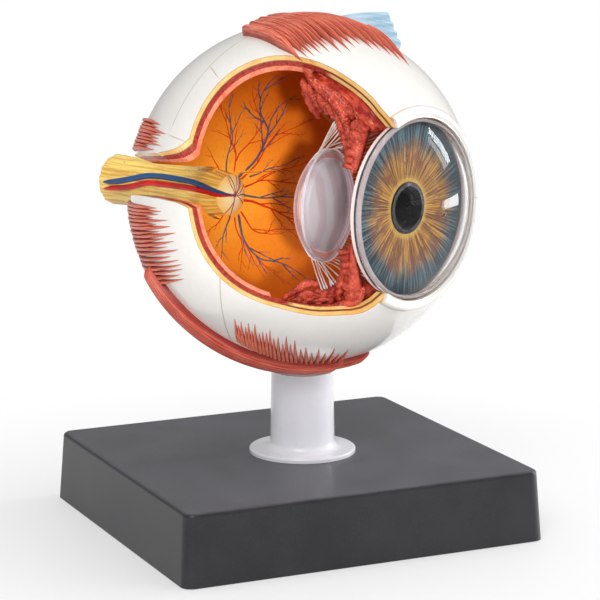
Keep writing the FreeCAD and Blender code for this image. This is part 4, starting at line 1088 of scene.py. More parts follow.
RING_SECTION = [(27.0, 62.5), (33.0, 60.2), (44.0, 52.8), (51.5, 45.6), (56.8, 38.6), (57.0, 34.6),
                (50.0, 33.4), (44.5, 33.6), (38.0, 37.5), (31.5, 41.0), (27.5, 47.0), (25.5, 56.0)]
WINDOW_TOP = 62.0
WINDOW_BOTTOM = -54.0
UPPER_FOLDS = [
    # the bright outer band and the strand beside it
    ([(23.8, 66.4, 64.5), (31.0, 61.9, 61), (37.3, 57.8, 60), (41.3, 53.0, 59.5), (43.2, 48.0, 59),
      (43.6, 42.5, 58), (45.5, 39.4, 53), (48.5, 37.8, 46), (51.5, 36.8, 38), (53.6, 36.0, 29)],
     [0.6, 1.9, 2.5, 2.8, 2.6, 2.2, 1.8, 1.6, 1.3, 0.5], 0.03),
    ([(35.0, 61.0, 61), (41.0, 56.0, 60.5), (45.8, 50.5, 60), (47.0, 45.0, 59)],
     [0.5, 1.8, 2.0, 0.8], 0.05),
    # hooked processes that hang from the band
    ([(25.3, 63.0, 61), (26.2, 56.0, 60), (27.2, 49.5, 59.5), (27.9, 43.4, 59.5)],
     [1.2, 2.3, 2.2, 1.0], 0.10),
    ([(28.3, 61.0, 60.5), (29.8, 54.0, 59.5), (31.0, 47.4, 59)], [0.9, 1.9, 1.2], 0.14),
    ([(31.8, 59.0, 60.5), (33.0, 52.5, 59.5), (33.9, 46.4, 59)], [0.9, 1.8, 1.1], 0.14),
    ([(35.0, 57.0, 60.5), (36.0, 51.0, 59.5), (36.8, 45.0, 59)], [0.9, 1.8, 1.1], 0.14),
    ([(38.6, 53.0, 60), (38.9, 47.0, 59.5), (38.4, 40.8, 59)], [0.9, 1.8, 1.4], 0.14),
    ([(26.6, 57.0, 59), (29.5, 56.0, 58.5), (32.5, 57.0, 59)], [0.6, 1.0, 0.6], 0.15),
    ([(27.6, 51.0, 58.5), (30.4, 51.8, 58), (33.4, 51.0, 58.5)], [0.6, 1.0, 0.6], 0.15),
    ([(31.5, 54.0, 58.5), (34.5, 53.0, 58), (37.5, 53.5, 58.5)], [0.6, 1.0, 0.6], 0.15),
    ([(34.0, 49.0, 58.5), (36.5, 48.5, 58), (39.0, 48.0, 58.5)], [0.6, 1.0, 0.6], 0.15),
    # the inner edge that runs on down the rim of the iris
    ([(38.5, 45.5, 59.5), (39.8, 40.5, 57), (42.5, 38.0, 52.5), (46.0, 37.0, 45.5),
      (49.8, 36.2, 37.5), (53.2, 35.4, 28.5)], [1.0, 1.7, 1.7, 1.5, 1.2, 0.45], 0.22),
    ([(49.0, 41.5, 60), (51.0, 39.0, 52), (53.0, 37.2, 42), (54.8, 36.4, 31)],
     [4.6, 3.4, 2.4, 0.8], 0.04),
]
UPPER_LOBES = [(57.0, 2.9, 43.0), (51.5, 2.6, 41.0), (46.5, 2.2, 39.4), (42.0, 1.9, 38.4),
               (37.5, 1.5, 37.6), (33.5, 1.1, 37.0)]
LOWER_FOLDS = [
    ([(27.5, 60.0, -38), (33.0, 57.6, -42.5), (39.0, 54.2, -48.5), (45.5, 50.0, -53),
      (52.0, 44.6, -53.5), (55.6, 39.6, -50)], [0.8, 1.7, 2.3, 2.6, 2.3, 1.4], 0.04),
    # the sheet that stands up at the ora, with its rolled edge
    ([(28.0, 59.2, -38), (32.5, 53.4, -37), (36.2, 48.6, -37), (38.6, 46.6, -40)],
     [0.9, 1.5, 1.8, 1.2], 0.08),
    ([(30.5, 58.0, -40.5), (34.0, 53.0, -41), (37.0, 49.5, -42)], [1.0, 2.4, 1.6], 0.16),
    ([(33.5, 56.5, -43.5), (36.2, 51.0, -43.5), (38.8, 46.8, -45)], [0.9, 2.0, 1.3], 0.14),
    ([(37.5, 54.0, -48), (38.4, 49.5, -47.5), (39.4, 45.6, -47.5)], [1.0, 2.2, 1.7], 0.14),
    ([(41.5, 51.5, -51.5), (41.6, 47.0, -49.5), (42.1, 43.2, -47)], [1.0, 2.2, 1.6], 0.14),
    ([(33.0, 55.0, -39), (36.5, 51.5, -40), (40.0, 50.0, -44)], [0.6, 1.1, 0.7], 0.15),
    ([(36.0, 53.0, -45), (39.5, 50.5, -46.5), (43.0, 48.5, -49)], [0.6, 1.1, 0.7], 0.15),
    ([(44.0, 48.0, -52), (45.0, 43.6, -47.5), (46.8, 40.4, -42), (49.3, 37.8, -35),
      (51.8, 36.0, -27), (53.8, 35.0, -18)], [1.2, 2.0, 1.8, 1.5, 1.1, 0.45], 0.20),
    ([(49.5, 47.0, -54), (50.8, 42.8, -48.5), (52.0, 39.8, -41.5), (53.4, 37.8, -33.5),
      (54.8, 36.6, -25), (55.6, 35.8, -17)], [1.2, 2.0, 1.8, 1.5, 1.1, 0.45], 0.05),
    ([(49.5, 42.0, -53), (51.3, 39.4, -46), (53.3, 37.4, -36), (55.2, 36.2, -22)],
     [4.6, 3.4, 2.4, 0.9], 0.04),
]
LOWER_LOBES = [(-51.0, 2.9, 44.0), (-46.5, 2.6, 41.6), (-42.0, 2.3, 39.6), (-37.5, 2.0, 38.6),
               (-33.0, 1.6, 37.8), (-28.5, 1.3, 37.2), (-24.5, 1.0, 36.8)]


def ciliary_ring(first, last, open_end):
    """The folded ring between two clock angles; it thins towards its end at the window."""
    def place(along, around):
        clock = first + (last - first) * along
        share = (around / (2 * math.pi)) % 1.0
        section = RING_SECTION + [RING_SECTION[0]]
        x, out = spline(section, share)
        inner = smooth(0.50, 0.58, share) * (1.0 - smooth(0.86, 0.96, share))
        pleat = math.cos(math.radians(clock) * 74.0)
        out -= inner * (1.1 * pleat + 0.35 * math.cos(math.radians(clock) * 31.0))
        x -= 0.8 * inner * pleat
        thin = smooth(16.0, 1.0, abs(clock - open_end))
        notch = thin * smooth(0.10, 0.30, share) * (1.0 - smooth(0.50, 0.62, share))
        x -= 7.0 * notch
        out += 1.5 * notch
        if along <= 0.0 or along >= 1.0:
            x, out = 41.0, 47.0
        return on_ring(x, out, clock)

    # Painted shade in the valleys of the pleats on the ring's inner side.
    def shade(along, around):
        share = (around / (2 * math.pi)) % 1.0
        clock = first + (last - first) * along
        inner = smooth(0.50, 0.58, share) * (1.0 - smooth(0.86, 0.96, share))
        return inner * (0.55 - 0.45 * math.cos(math.radians(clock) * 74.0))
    return pod(place, 620, 44, shade)


def ciliary_folds(folds, lobes, tilt, seed):
    """The folds that show at the window: bands, hooks and the lobes beside the iris."""
    parts = []
    for number, (line, radii, lumps) in enumerate(folds):
        facing = on_ring(-0.1, 1.0, tilt * 0.35)
        parts.append(limb([on_ring(*p) for p in line], radii, 14 + 7 * len(line), 16,
                          lumps=lumps, waves=1.2 * len(line), seed=seed + number, facing=facing,
                          ridge=0.03))
    for number, (clock, radius, out) in enumerate(lobes):
        step = 3.0 if tilt > 0 else -3.0
        reach = min(55.8 - radius * 0.6, 54.8)
        line = [on_ring(46.5, out - 2.0, clock + step * 0.4), on_ring(50.0, out + 0.4, clock),
                on_ring(reach, out - 1.6, clock - step * 0.3)]
        parts.append(limb(line, [0.8, radius, radius * 0.95, 0.6], 20, 16, lumps=0.06, waves=1.5,
                          seed=seed + 40 + number, facing=on_ring(0.0, 1.0, clock * 0.3)))
    return parts


class EYE_OT_ciliary_body(bpy.types.Operator):
    """Fold the ciliary body behind the iris, with its hooks and lobes at the window."""
    bl_idname = "eye.ciliary_body"
    bl_label = "Ciliary body"

    def execute(self, context):
        for name, body, first, last, open_end, folds, lobes, seed in (
                ("ciliary_body_upper", "upper_half", WINDOW_TOP - 0.6, 179.9, WINDOW_TOP,
                 UPPER_FOLDS, UPPER_LOBES, 100),
                ("ciliary_body_lower", "eyeball", WINDOW_BOTTOM + 0.6, -179.9, WINDOW_BOTTOM,
                 LOWER_FOLDS, LOWER_LOBES, 200)):
            parts = [ciliary_ring(first, last, open_end)]
            parts += ciliary_folds(folds, lobes, open_end, seed)
            piece = joined(name + "_folds", parts, 60.0)
            dress(piece, FINISHES["ciliary"], body, "ciliary_paint", name)
        return {"FINISHED"}


# --- vessels painted in relief on the retina ---

DISC_PLACE = (-58.0, 17.0, -8.4)
DISC_RADIUS = 9.2
VESSEL_START = 6.6
# kind, radius and route of each main vessel, in degrees right and up of the nerve's head
VESSELS = [
    ("vein", 0.80, ((7, 6), (11, 9), (15, 13), (18, 19), (19, 25), (15, 32), (13, 39), (14, 47),
                    (17, 54))),
    ("vein", 0.42, ((19, 25), (20, 31), (23, 37), (29, 42))),
    ("artery", 0.52, ((8, 5), (12, 8), (16, 12), (19, 18), (22, 22), (26, 24), (32, 27), (39, 31))),
    ("vein", 0.50, ((2, 7), (2, 12), (3, 17), (4, 22), (2, 29), (-1, 37), (-2, 44))),
    ("artery", 0.44, ((5, 7), (6, 12), (6, 17), (3, 22), (0, 29), (-4, 35), (-6, 41))),
    ("artery", 0.42, ((6, 12), (8, 16), (11, 19), (14, 23), (16, 28), (13, 34), (9, 41), (7, 48))),
    ("artery", 0.34, ((1, 6), (-2, 11), (-5, 16), (-8, 20))),
    ("artery", 0.54, ((9, 2), (13, 3), (16, 4), (20, 4), (25, 3), (32, 2), (41, 3))),
    ("artery", 0.38, ((16, 4), (20, 6), (25, 8), (31, 9), (39, 12))),
    ("vein", 0.40, ((12, 6), (16, 7), (21, 9), (27, 10), (35, 14))),
    ("vein", 0.62, ((9, -1), (13, -2), (18, -3), (24, -3), (31, -4), (41, -6))),
    ("artery", 0.74, ((9, -3), (13, -4), (17, -6), (21, -8), (25, -11), (31, -14), (41, -18))),
    ("vein", 0.72, ((6, -8), (6, -13), (6, -17), (7, -21), (9, -25), (12, -28), (18, -30),
                    (23, -34), (28, -41))),
    ("artery", 0.48, ((7, -7), (9, -11), (11, -15), (15, -17), (20, -16), (27, -17), (37, -20))),
    ("artery", 0.40, ((10, -27), (12, -31), (15, -35), (20, -42))),
    ("vein", 0.50, ((2, -9), (0, -12), (-3, -17), (-5, -22), (-7, -26))),
    ("artery", 0.38, ((0, -7), (-4, -11), (-8, -13), (-11, -17))),
    ("artery", 0.42, ((4, -9), (4, -14), (5, -20), (3, -26), (0, -32))),
    ("artery", 0.36, ((6, -17), (7, -23), (8, -29), (10, -36))),
]
# where the wall is open: the window's edge as clock and polar angle, the slot's edges by turn
OPEN_CLOCKS = (-58.0, -45.0, -35.0, -27.0, -15.0, 0.0, 25.0, 44.0, 55.0, 62.5, 67.0)
OPEN_POLARS = (38.0, 52.0, 62.0, 73.0, 83.0, 88.6, 93.3, 91.4, 85.2, 75.6, 60.0)
SLOT_TURNS = (-193.0, -177.0, -145.0, -120.0, -98.0, -88.0)
SLOT_TOPS = (3.2, 5.2, 10.6, 14.6, 16.6, 22.0)
SLOT_FEET = (-10.5, -7.0, -1.5, 2.5, 3.8, 2.0)
RETINA_FRONT = 25.0


def on_wall(way):
    """Whether the retina runs behind a direction from the ball's centre."""
    polar = math.degrees(math.acos(way[0]))
    clock = math.degrees(math.atan2(way[2], -way[1]))
    turn = math.degrees(math.atan2(way[1], way[0]))
    turn -= 360.0 if turn > 0 else 0.0
    height = math.degrees(math.asin(way[2]))
    if way[0] * sizes().retina_radius / MM > RETINA_FRONT:
        return False
    if OPEN_CLOCKS[0] < clock < OPEN_CLOCKS[-1]:
        if polar < np.interp(clock, OPEN_CLOCKS, OPEN_POLARS) + 1.0:
            return False
    if SLOT_TURNS[0] < turn < SLOT_TURNS[-1]:
        if (np.interp(turn, SLOT_TURNS, SLOT_FEET) - 0.6 < height
                < np.interp(turn, SLOT_TURNS, SLOT_TOPS) + 0.6):
            return False
    return True


def over_retina(q):
    """A direction from the ball's centre, from degrees right and up of the nerve's head."""
    home = unit(DISC_PLACE)
    up = unit(np.array([0.0, 0.0, 1.0]) - home * home[2])
    across = np.cross(home, up)
    reach = math.radians(math.hypot(q[0], q[1]))
    turn = math.atan2(q[1], q[0])
    return home * math.cos(reach) + (across * math.cos(turn) + up * math.sin(turn)) * math.sin(reach)


def vessel_run(points, thick, thin, floor, lo, hi, rings):
    """One vessel between two shares of its line, half sunk in the wall."""
    def place(along, around):
        share = lo + (hi - lo) * along
        here = over_retina(spline(points, share))
        forward = unit(over_retina(spline(points, min(1.0, share + 0.01)))
                       - over_retina(spline(points, max(0.0, share - 0.01))))
        side = np.cross(here, forward)
        cap = math.sqrt(min(1.0, along / 0.04)) * math.sqrt(max(0.0, min(1.0, (1 - along) / 0.04)))
        radius = (thick + (thin - thick) * share ** 0.8) * cap
        near = math.acos(max(-1.0, min(1.0, float(here @ unit(DISC_PLACE)))))
        level = floor - 0.35 * smooth(0.26, 0.20, near)
        return here * (level - 0.75 * math.sin(around) * radius) + side * math.cos(around) * radius
    return pod(place, rings, 8)


def sprout(points, thick, dice, depth, out):
    """Adds a vessel and the branches that leave it, as lists of points in degrees."""
    out.append((points, thick))
    span = math.dist(points[0], points[-1])
    if depth == 0 or span < 5.0:
        return
    number = max(2, round(span / (7.5 if depth == 2 else 6.0)))
    hand = dice.choice((-1, 1))
    for k in range(number):
        share = 0.25 + 0.65 * (k + 0.6 * dice.random()) / number
        start = spline(points, share)
        ahead = spline(points, min(1.0, share + 0.03)) - start
        heading = math.atan2(ahead[1], ahead[0])
        hand = -hand
        turn = heading + hand * math.radians(20 + 22 * dice.random())
        reach = span * (1.0 - 0.55 * share) * (0.30 + 0.22 * dice.random())
        bend = hand * math.radians(12 - 40 * dice.random())
        line = [start]
        for _ in range(3):
            turn += bend / 2 + 0.12 * (dice.random() - 0.5)
            line.append(line[-1] + np.array([math.cos(turn), math.sin(turn)]) * reach / 3)
        sprout(line, thick * (0.52 + 0.10 * dice.random()), dice, depth - 1, out)


class EYE_OT_retina_vessels(bpy.types.Operator):
    """Branch the vessels over the retina from the head of the nerve."""
    bl_idname = "eye.retina_vessels"
    bl_label = "Retina vessels"

    def execute(self, context):
        dice = random.Random(7)
        floor = sizes().retina_radius / MM
        scale = sizes().vessel_radius / MM / 0.62
        parts = {}
        for kind, thick, route in VESSELS:
            line = [np.array(place, float) for place in route]
            found = []
            sprout(line, thick * scale, dice, 2, found)
            away = math.hypot(*route[0])
            if VESSEL_START < away < 9.5:
                found[0] = ([line[0] * VESSEL_START / away] + line, found[0][1])
            for points, radius in found:
                self.lay(points, radius, floor, kind, parts)
        for (kind, body), items in sorted(parts.items()):
            half = "upper" if body == "upper_half" else "lower"
            piece = joined("retina_%s_relief_%s" % (kind, half), items)
            dress(piece, FINISHES["retina " + kind], body, kind + "_paint")
        return {"FINISHED"}

    def lay(self, points, radius, floor, kind, parts):
        """The vessel's runs on the wall, each for the half of the ball that it lies on."""
        steps = 60
        ways = [over_retina(spline(points, k / steps)) for k in range(steps + 1)]
        halves = [("upper_half" if way[2] > 0 else "eyeball") if on_wall(way) else None
                  for way in ways]
        start = 0
        for k in range(1, steps + 1):
            crossed = halves[k] != halves[start]
            if crossed or k == steps:
                lo, hi = start / steps, (k - 1 if crossed else k) / steps
                if halves[start] and hi - lo > 0.04:
                    rings = max(8, int(40 * (hi - lo)))
                    parts.setdefault((kind, halves[start]), []).append(
                        vessel_run(points, radius, radius * 0.30, floor, lo, hi, rings))
                start = k


# --- optic nerve, its vessels and its head ---

NERVE_START = -130.0
NERVE_HEAD = -57.4
NERVE_AXIS = (17.0, -8.4)
# how the two vessels wander along the nerve: place along it and height above its axis, in mm
VEIN_ROUTE = [(-127.5, 0.2), (-120.0, 1.2), (-111.0, 3.0), (-100.0, 5.7), (-91.0, 6.2),
              (-82.0, 6.1), (-73.0, 5.8), (-65.0, 4.4), (-59.0, 2.8)]
ARTERY_ROUTE = [(-127.5, -3.0), (-119.0, -1.8), (-110.0, -0.3), (-99.0, 2.5), (-90.0, 2.9),
                (-81.0, 2.9), (-72.0, 2.9), (-64.0, 2.2), (-59.0, 1.2)]


def nerve_radius(x):
    """The nerve's outline: a slight flare at its cut end and a cone behind its head."""
    flare = 0.35 * smooth(-121.0, NERVE_START, x)
    return 11.6 + flare - 2.3 * max(0.0, min(1.0, (x + 67.0) / 9.2))


def disc_level(out):
    """How far forward the nerve's domed head stands, out from its middle."""
    return DISC_PLACE[0] + 1.0 + 2.7 * (1.0 - (out / (DISC_RADIUS + 0.25)) ** 2)


class EYE_OT_optic_nerve(bpy.types.Operator):
    """Draw the nerve out of its fibres, with the two vessels on its near side and its head."""
    bl_idname = "eye.optic_nerve"
    bl_label = "Optic nerve"

    def execute(self, context):
        dice = random.Random(61)
        tones = [(dice.random() * 6.28, 0.5 + dice.random()) for _ in range(5)]

        def station(along):
            """The place along the nerve, and how far its fibres have drifted round there."""
            share = min(1.0, max(0.0, (along - 0.03) / 0.94))
            x = NERVE_START + (NERVE_HEAD - NERVE_START) * share
            return x, 0.05 * math.sin(0.09 * x + tones[0][0])

        def trunk(along, around):
            x, drift = station(along)
            fold = (0.5 * math.cos(13 * (around + drift) + tones[1][0])
                    + 0.3 * math.cos(29 * (around - drift) + tones[2][0])
                    + 0.2 * math.cos(7 * (around + 2 * drift) + tones[3][0]))
            edge = smooth(0.0, 0.03, along) ** 0.5 * smooth(1.0, 0.97, along) ** 0.5
            out = nerve_radius(x) * (0.985 + 0.030 * fold * min(1.0, edge * 1.2)) * edge
            return (x + 0.9 * (1.0 - edge) * (1 if along < 0.5 else 0),
                    NERVE_AXIS[0] + out * math.cos(around), NERVE_AXIS[1] + out * math.sin(around))

        # Painted shade marked in the grooves between the nerve's fibres.
        def groove_shade(along, around):
            drift = station(along)[1]
            return 0.5 - 0.5 * math.cos(13 * (around + drift) + tones[1][0])
        piece = joined("optic_nerve_fibres", [pod(trunk, 110, 180, groove_shade)])
        dress(piece, FINISHES["nerve"], "eyeball", "nerve_paint", "optic_nerve")
        for kind, node, route, seed in (("vein", "central_vein", VEIN_ROUTE, 1),
                                        ("artery", "central_artery", ARTERY_ROUTE, 4)):
            line = []
            for x, height in route:
                out = nerve_radius(x) + 0.1
                line.append((x, NERVE_AXIS[0] - math.sqrt(out * out - height * height),
                             NERVE_AXIS[1] + height))
            last = route[-1][1]
            for out, share in ((8.3, 0.75), (6.0, 0.45), (2.5, 0.15), (0.3, 0.0)):
                line.append((disc_level(out) + 0.3, NERVE_AXIS[0] - out,
                             NERVE_AXIS[1] + share * last))
            tube = limb(line, [1.0, 1.4, 1.4, 1.4, 1.35, 1.3, 1.1, 0.8, 0.5, 0.35], 110, 16,
                        facing=(0.0, -1.0, 0.0), lumps=0.04, waves=5.0, seed=seed)
            piece = joined(node + "_line", [tube])
            dress(piece, FINISHES[kind], "eyeball", kind + "_paint", node)
        self.head()
        return {"FINISHED"}

    def head(self):
        """The domed head with the thin vessel lines that cross it."""
        def dome(along, around):
            share = math.sin(math.pi * along)
            front = along > 0.5
            out = (DISC_RADIUS + 0.25) * min(1.0, share * 1.02) ** (0.9 if front else 0.35)
            x = disc_level(out) if front else DISC_PLACE[0] + 0.2
            dip = 0.5 * math.exp(-(out / 1.6) ** 2) if front else 0.0
            return (x - dip, DISC_PLACE[1] + out * math.cos(around),
                    DISC_PLACE[2] + out * math.sin(around))
        piece = joined("optic_disc_dome", [pod(dome, 40, 64)])
        dress(piece, FINISHES["disc"], "eyeball", "disc_paint", "optic_disc")
        rays = {"vein": [], "artery": []}
        for kind, thick, route in VESSELS:
            if math.hypot(*route[0]) > 9.5:
                continue
            angle = math.atan2(route[0][1], route[0][0] - 3.0)
            line = []
            for step in range(5):
                out = 0.6 + (DISC_RADIUS - 0.2) * step / 4.0
                turn = angle + 0.10 * math.sin(0.8 * step + thick * 20)
                line.append((disc_level(out), DISC_PLACE[1] + out * math.cos(turn),
                             DISC_PLACE[2] + out * math.sin(turn)))
            rays[kind].append(limb(line, [0.16, 0.26, 0.45 * thick + 0.1], 16, 8,
                                   facing=(1.0, 0.0, 0.0), squash=0.7))
        for kind, items in rays.items():
            piece = joined("disc_%s_lines" % kind, items)
            dress(piece, FINISHES["retina " + kind], "eyeball", kind + "_paint")
        floor = sizes().retina_radius / MM - 0.25

        def collar(along, around):
            """A crescent of retina that closes the gap between the wall and the nerve's cone."""
            angle = math.radians(-122.0 + 244.0 * along)
            full = math.sqrt(max(0.0, math.sin(math.pi * along)))
            out = 9.6 + 1.9 * full * (1.0 + math.cos(around))
            y = DISC_PLACE[1] + out * math.cos(angle)
            z = DISC_PLACE[2] + out * math.sin(angle)
            level = floor + 0.15 * math.sin(around) * full
            return (-math.sqrt(level * level - y * y - z * z), y, z)
        piece = joined("optic_disc_collar", [pod(collar, 64, 12)])
        dress(piece, FINISHES["retina"], "eyeball", "retina_paint")


# --- lens fibres ---

LENS_PLACE = (16.0, -3.0, -3.0)
LENS_TURN = math.radians(14.0)
LENS_RADIUS = 24.4


def lens_rim(angle, forward=0.0):
    """A point on the lens's rim; 90 degrees is its top and 180 its near side."""
    a = math.radians(angle)
    axis = np.array([math.cos(LENS_TURN), math.sin(LENS_TURN), 0.0])
    across = np.array([-math.sin(LENS_TURN), math.cos(LENS_TURN), 0.0])
    return (np.array(LENS_PLACE) + axis * forward
            + (across * math.cos(a) + np.array([0.0, 0.0, 1.0]) * math.sin(a)) * LENS_RADIUS)


FIBRE_ENDS = [
    # angle on the rim, then the end on the folds
    (124, (37.0, 44.0, 59)), (119, (37.4, 43.0, 59)), (113, (37.9, 42.0, 58.5)),
    (108, (38.2, 40.6, 58)), (116, (39.0, 39.6, 57)), (102, (40.5, 38.4, 55)),
    (96, (42.5, 37.6, 52)), (104, (44.5, 37.2, 48)), (88, (45.5, 36.8, 46)),
    (-126, (37.6, 46.4, -47.5)), (-121, (38.6, 45.4, -47)), (-116, (39.6, 44.8, -47)),
    (-110, (41.0, 43.6, -47)), (-118, (42.0, 42.6, -47)), (-106, (43.4, 42.0, -46)),
    (-100, (45.4, 40.2, -42)), (-93, (47.0, 38.6, -38)),
]


class EYE_OT_cornea_edge(bpy.types.Operator):
    """Lay a pale ring round the cornea's foot, inside its rim, as a painted reflection of the rim in
    the clear acrylic.
    """
    bl_idname = "eye.cornea_edge"
    bl_label = "Cornea's edge"

    def execute(self, context):
        def place(turn, around):
            out = 37.2 + 0.95 * math.cos(around)
            return (61.4 + 1.3 * math.sin(around), -out * math.cos(turn), out * math.sin(turn))
        piece = joined("cornea_edge_reflection", [hoop(place, 220, 16)])
        dress(piece, FINISHES["edge"], "cornea_dome", "clear_cornea")
        return {"FINISHED"}


class EYE_OT_fibres(bpy.types.Operator):
    """String the lens's rim to the folds with fine fibres."""
    bl_idname = "eye.fibres"
    bl_label = "Lens fibres"

    def execute(self, context):
        dice = random.Random(77)
        parts = []
        for angle, end in FIBRE_ENDS:
            parts.append(self.fibre(lens_rim(angle, dice.uniform(-0.8, 1.2)), on_ring(*end), dice))
        for k in range(34):
            angle = -84.0 + 5.0 * k
            clock = 180.0 - angle + dice.uniform(-2.0, 2.0)
            end = on_ring(dice.uniform(37.5, 43.5), 35.6, clock)
            parts.append(self.fibre(lens_rim(angle, dice.uniform(-1.0, 1.4)), end, dice))
        # A pale ring round the lens's rim: a painted highlight standing for the bright edge of the
        # clear glass.
        def place(turn, around):
            rim = lens_rim(math.degrees(turn), 0.75 * math.sin(around))
            return rim + (np.array(LENS_PLACE) - rim) * (0.9 - 0.75 * math.cos(around)) / LENS_RADIUS
        rim = joined("lens_rim_highlight", [hoop(place, 160, 12)])
        dress(rim, FINISHES["lens edge"], "lens", "clear_lens")
        piece = joined("zonule_fibres_fine", parts)
        dress(piece, FINISHES["fibres"], "lens", "clear_fibre", "zonule_fibres")
        return {"FINISHED"}

    def fibre(self, start, end, dice):
        middle = (start + end) / 2 + np.array([dice.uniform(-0.5, 0.5) for _ in range(3)])
        return limb([start, middle, end], [0.30, 0.20, 0.20, 0.26, 0.50], 14, 6)


# --- stage: floor, light and camera ---

def backdrop_material():
    """A pale floor that fades to plain white away from the stand and keeps its shadow."""
    material = bpy.data.materials.new("studio floor")
    material.use_nodes = True
    tree = material.node_tree
    shader = tree.nodes["Principled BSDF"]
    shader.inputs["Base Color"].default_value = (0.90, 0.90, 0.91, 1.0)
    shader.inputs["Roughness"].default_value = 0.5
    white = wire(tree, "Emission", {"Color": (1, 1, 1, 1), "Strength": 1.0})
    point = tree.nodes.new("ShaderNodeTexCoord").outputs["Object"]
    far = wire(tree, "VectorMath", {0: point}, operation="LENGTH").outputs["Value"]
    share = wire(tree, "MapRange", {"Value": far, "From Min": 0.10, "From Max": 0.27,
                                    "To Min": 0.38, "To Max": 1.0},
                 interpolation_type="SMOOTHSTEP").outputs[0]
    path = tree.nodes.new("ShaderNodeLightPath")
    seen = maths(tree, "MAXIMUM", path.outputs["Is Camera Ray"],
                 maths(tree, "MAXIMUM", path.outputs["Is Glossy Ray"],
                       path.outputs["Is Transmission Ray"]))
    blend = wire(tree, "MixShader", {0: maths(tree, "MULTIPLY", share, seen),
                                     1: shader.outputs[0], 2: white.outputs[0]})
    out = next(node for node in tree.nodes if node.type == "OUTPUT_MATERIAL")
    tree.links.new(blend.outputs[0], out.inputs["Surface"])
    return material


def studio_world():
    world = bpy.data.worlds.new("studio")
    bpy.context.scene.world = world
    world.use_nodes = True
    tree = world.node_tree
    background = tree.nodes["Background"]
    path = tree.nodes.new("ShaderNodeLightPath")
    seen = maths(tree, "MAXIMUM", path.outputs["Is Camera Ray"],
                 path.outputs["Is Transmission Ray"])
    strength = wire(tree, "MapRange", {"Value": seen, "To Min": 0.42, "To Max": 1.0}).outputs[0]
    background.inputs["Color"].default_value = (1.0, 1.0, 1.0, 1.0)
    tree.links.new(strength, background.inputs["Strength"])


def lamp_at(data, place, aim, power):
    """Stand a lamp at a place, turned towards another."""
    data.energy = power
    lamp = bpy.data.objects.new(data.name, data)
    bpy.context.scene.collection.objects.link(lamp)
    lamp.location = place
    lamp.rotation_mode = "QUATERNION"
    lamp.rotation_quaternion = (Vector(aim) - Vector(place)).to_track_quat("-Z", "Y")
    return lamp


def softbox(name, place, aim, width, height, power, glossy=True):
    data = bpy.data.lights.new(name, "AREA")
    data.shape = "RECTANGLE"
    data.size, data.size_y = width, height
    lamp_at(data, place, aim, power).visible_glossy = glossy


CAMERA_PLACE = (-0.4534, -0.9857, 0.3203)
CAMERA_AZIMUTH = math.radians(-24.698)
CAMERA_ELEVATION = math.radians(12.698)
FOCAL_PIXELS = 2508.54
IMAGE_WIDTH = 600.0
SENSOR_WIDTH = 36.0
CENTRE_ACROSS = 293.3
CENTRE_DOWN = 352.4


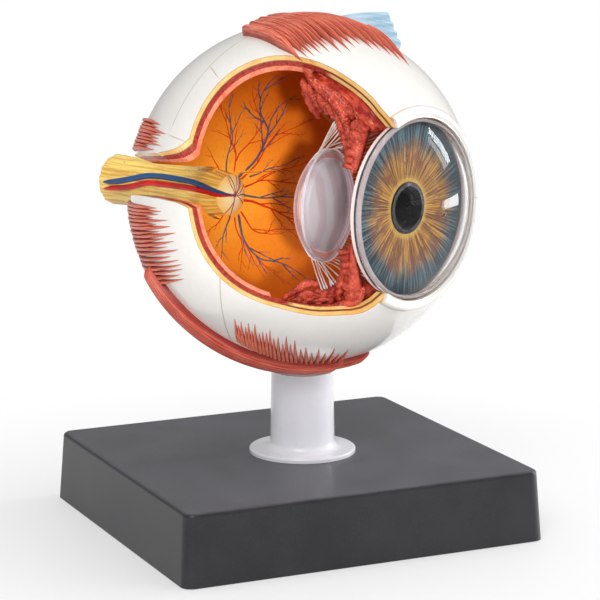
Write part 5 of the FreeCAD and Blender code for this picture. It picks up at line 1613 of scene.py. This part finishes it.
class EYE_OT_stage(bpy.types.Operator):
    """Set out the floor, the soft studio light and the camera."""
    bl_idname = "eye.stage"
    bl_label = "Set the stage"

    def execute(self, context):
        clear_selection()
        context.scene.view_settings.view_transform = "Standard"
        bpy.ops.mesh.primitive_plane_add(size=8.0, location=(0.0, 0.0, -0.0002))
        floor = context.object
        floor.name = "studio_floor"
        floor.data.materials.append(backdrop_material())
        studio_world()
        middle = (0.0, 0.0, 0.14)
        softbox("key", (-0.75, -1.05, 1.05), middle, 0.7, 0.7, 12.0)
        softbox("fill", (1.10, -0.75, 0.55), middle, 0.9, 0.9, 6.0, glossy=False)
        softbox("top", (0.1, 0.2, 1.30), middle, 1.0, 1.0, 4.5, glossy=False)
        softbox("tall strip", (1.05, 0.02, 0.54), middle, 0.13, 0.36, 3.5)
        softbox("low strip", (1.12, -0.10, 0.05), middle, 0.42, 0.09, 2.6)
        spot = bpy.data.lights.new("window spot", "SPOT")
        spot.spot_size = math.radians(6.0)
        spot.spot_blend = 0.9
        spot.shadow_soft_size = 0.05
        lamp_at(spot, (-0.43, -1.30, 0.30), (-0.005, 0.035, 0.145), 75.0).visible_glossy = False
        camera = bpy.data.objects.new("camera", bpy.data.cameras.new("camera"))
        context.scene.collection.objects.link(camera)
        context.scene.camera = camera
        a, e = CAMERA_AZIMUTH, CAMERA_ELEVATION
        back = Vector((math.sin(a) * math.cos(e), -math.cos(a) * math.cos(e), math.sin(e)))
        camera.location = CAMERA_PLACE
        camera.rotation_mode = "QUATERNION"
        camera.rotation_quaternion = (-back).to_track_quat("-Z", "Y")
        camera.data.sensor_width = SENSOR_WIDTH
        camera.data.lens = FOCAL_PIXELS * SENSOR_WIDTH / IMAGE_WIDTH
        camera.data.shift_x = (IMAGE_WIDTH / 2 - CENTRE_ACROSS) / IMAGE_WIDTH
        camera.data.shift_y = (CENTRE_DOWN - IMAGE_WIDTH / 2) / IMAGE_WIDTH
        camera.data.clip_start, camera.data.clip_end = 0.05, 20.0
        return {"FINISHED"}


class EYE_PT_panel(bpy.types.Panel):
    """The model's pieces, in the order in which they are built."""
    bl_idname = "EYE_PT_panel"
    bl_label = "Eye model"
    bl_space_type = "VIEW_3D"
    bl_region_type = "UI"
    bl_category = "Eye model"

    def draw(self, context):
        layout = self.layout
        for group in (context.scene.eye_sizes, context.scene.eye_colours):
            for key in group.__annotations__:
                layout.prop(group, key)
        for step in STEPS:
            layout.operator(step.bl_idname)


STEPS = [EYE_OT_finishes, EYE_OT_superior_rectus, EYE_OT_side_muscles, EYE_OT_lower_muscles,
         EYE_OT_tendon, EYE_OT_ciliary_body, EYE_OT_retina_vessels, EYE_OT_optic_nerve,
         EYE_OT_cornea_edge, EYE_OT_fibres, EYE_OT_stage]


def register():
    for item in [EyeSizes, EyeColours] + STEPS + [EYE_PT_panel]:
        bpy.utils.register_class(item)
    bpy.types.Scene.eye_sizes = bpy.props.PointerProperty(type=EyeSizes)
    bpy.types.Scene.eye_colours = bpy.props.PointerProperty(type=EyeColours)


def unregister():
    del bpy.types.Scene.eye_colours
    del bpy.types.Scene.eye_sizes
    for item in reversed([EyeSizes, EyeColours] + STEPS + [EYE_PT_panel]):
        bpy.utils.unregister_class(item)


def main():
    register()
    for step in STEPS:
        group, name = step.bl_idname.split(".")
        getattr(getattr(bpy.ops, group), name)()
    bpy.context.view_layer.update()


if __name__ == "__main__":
    main()
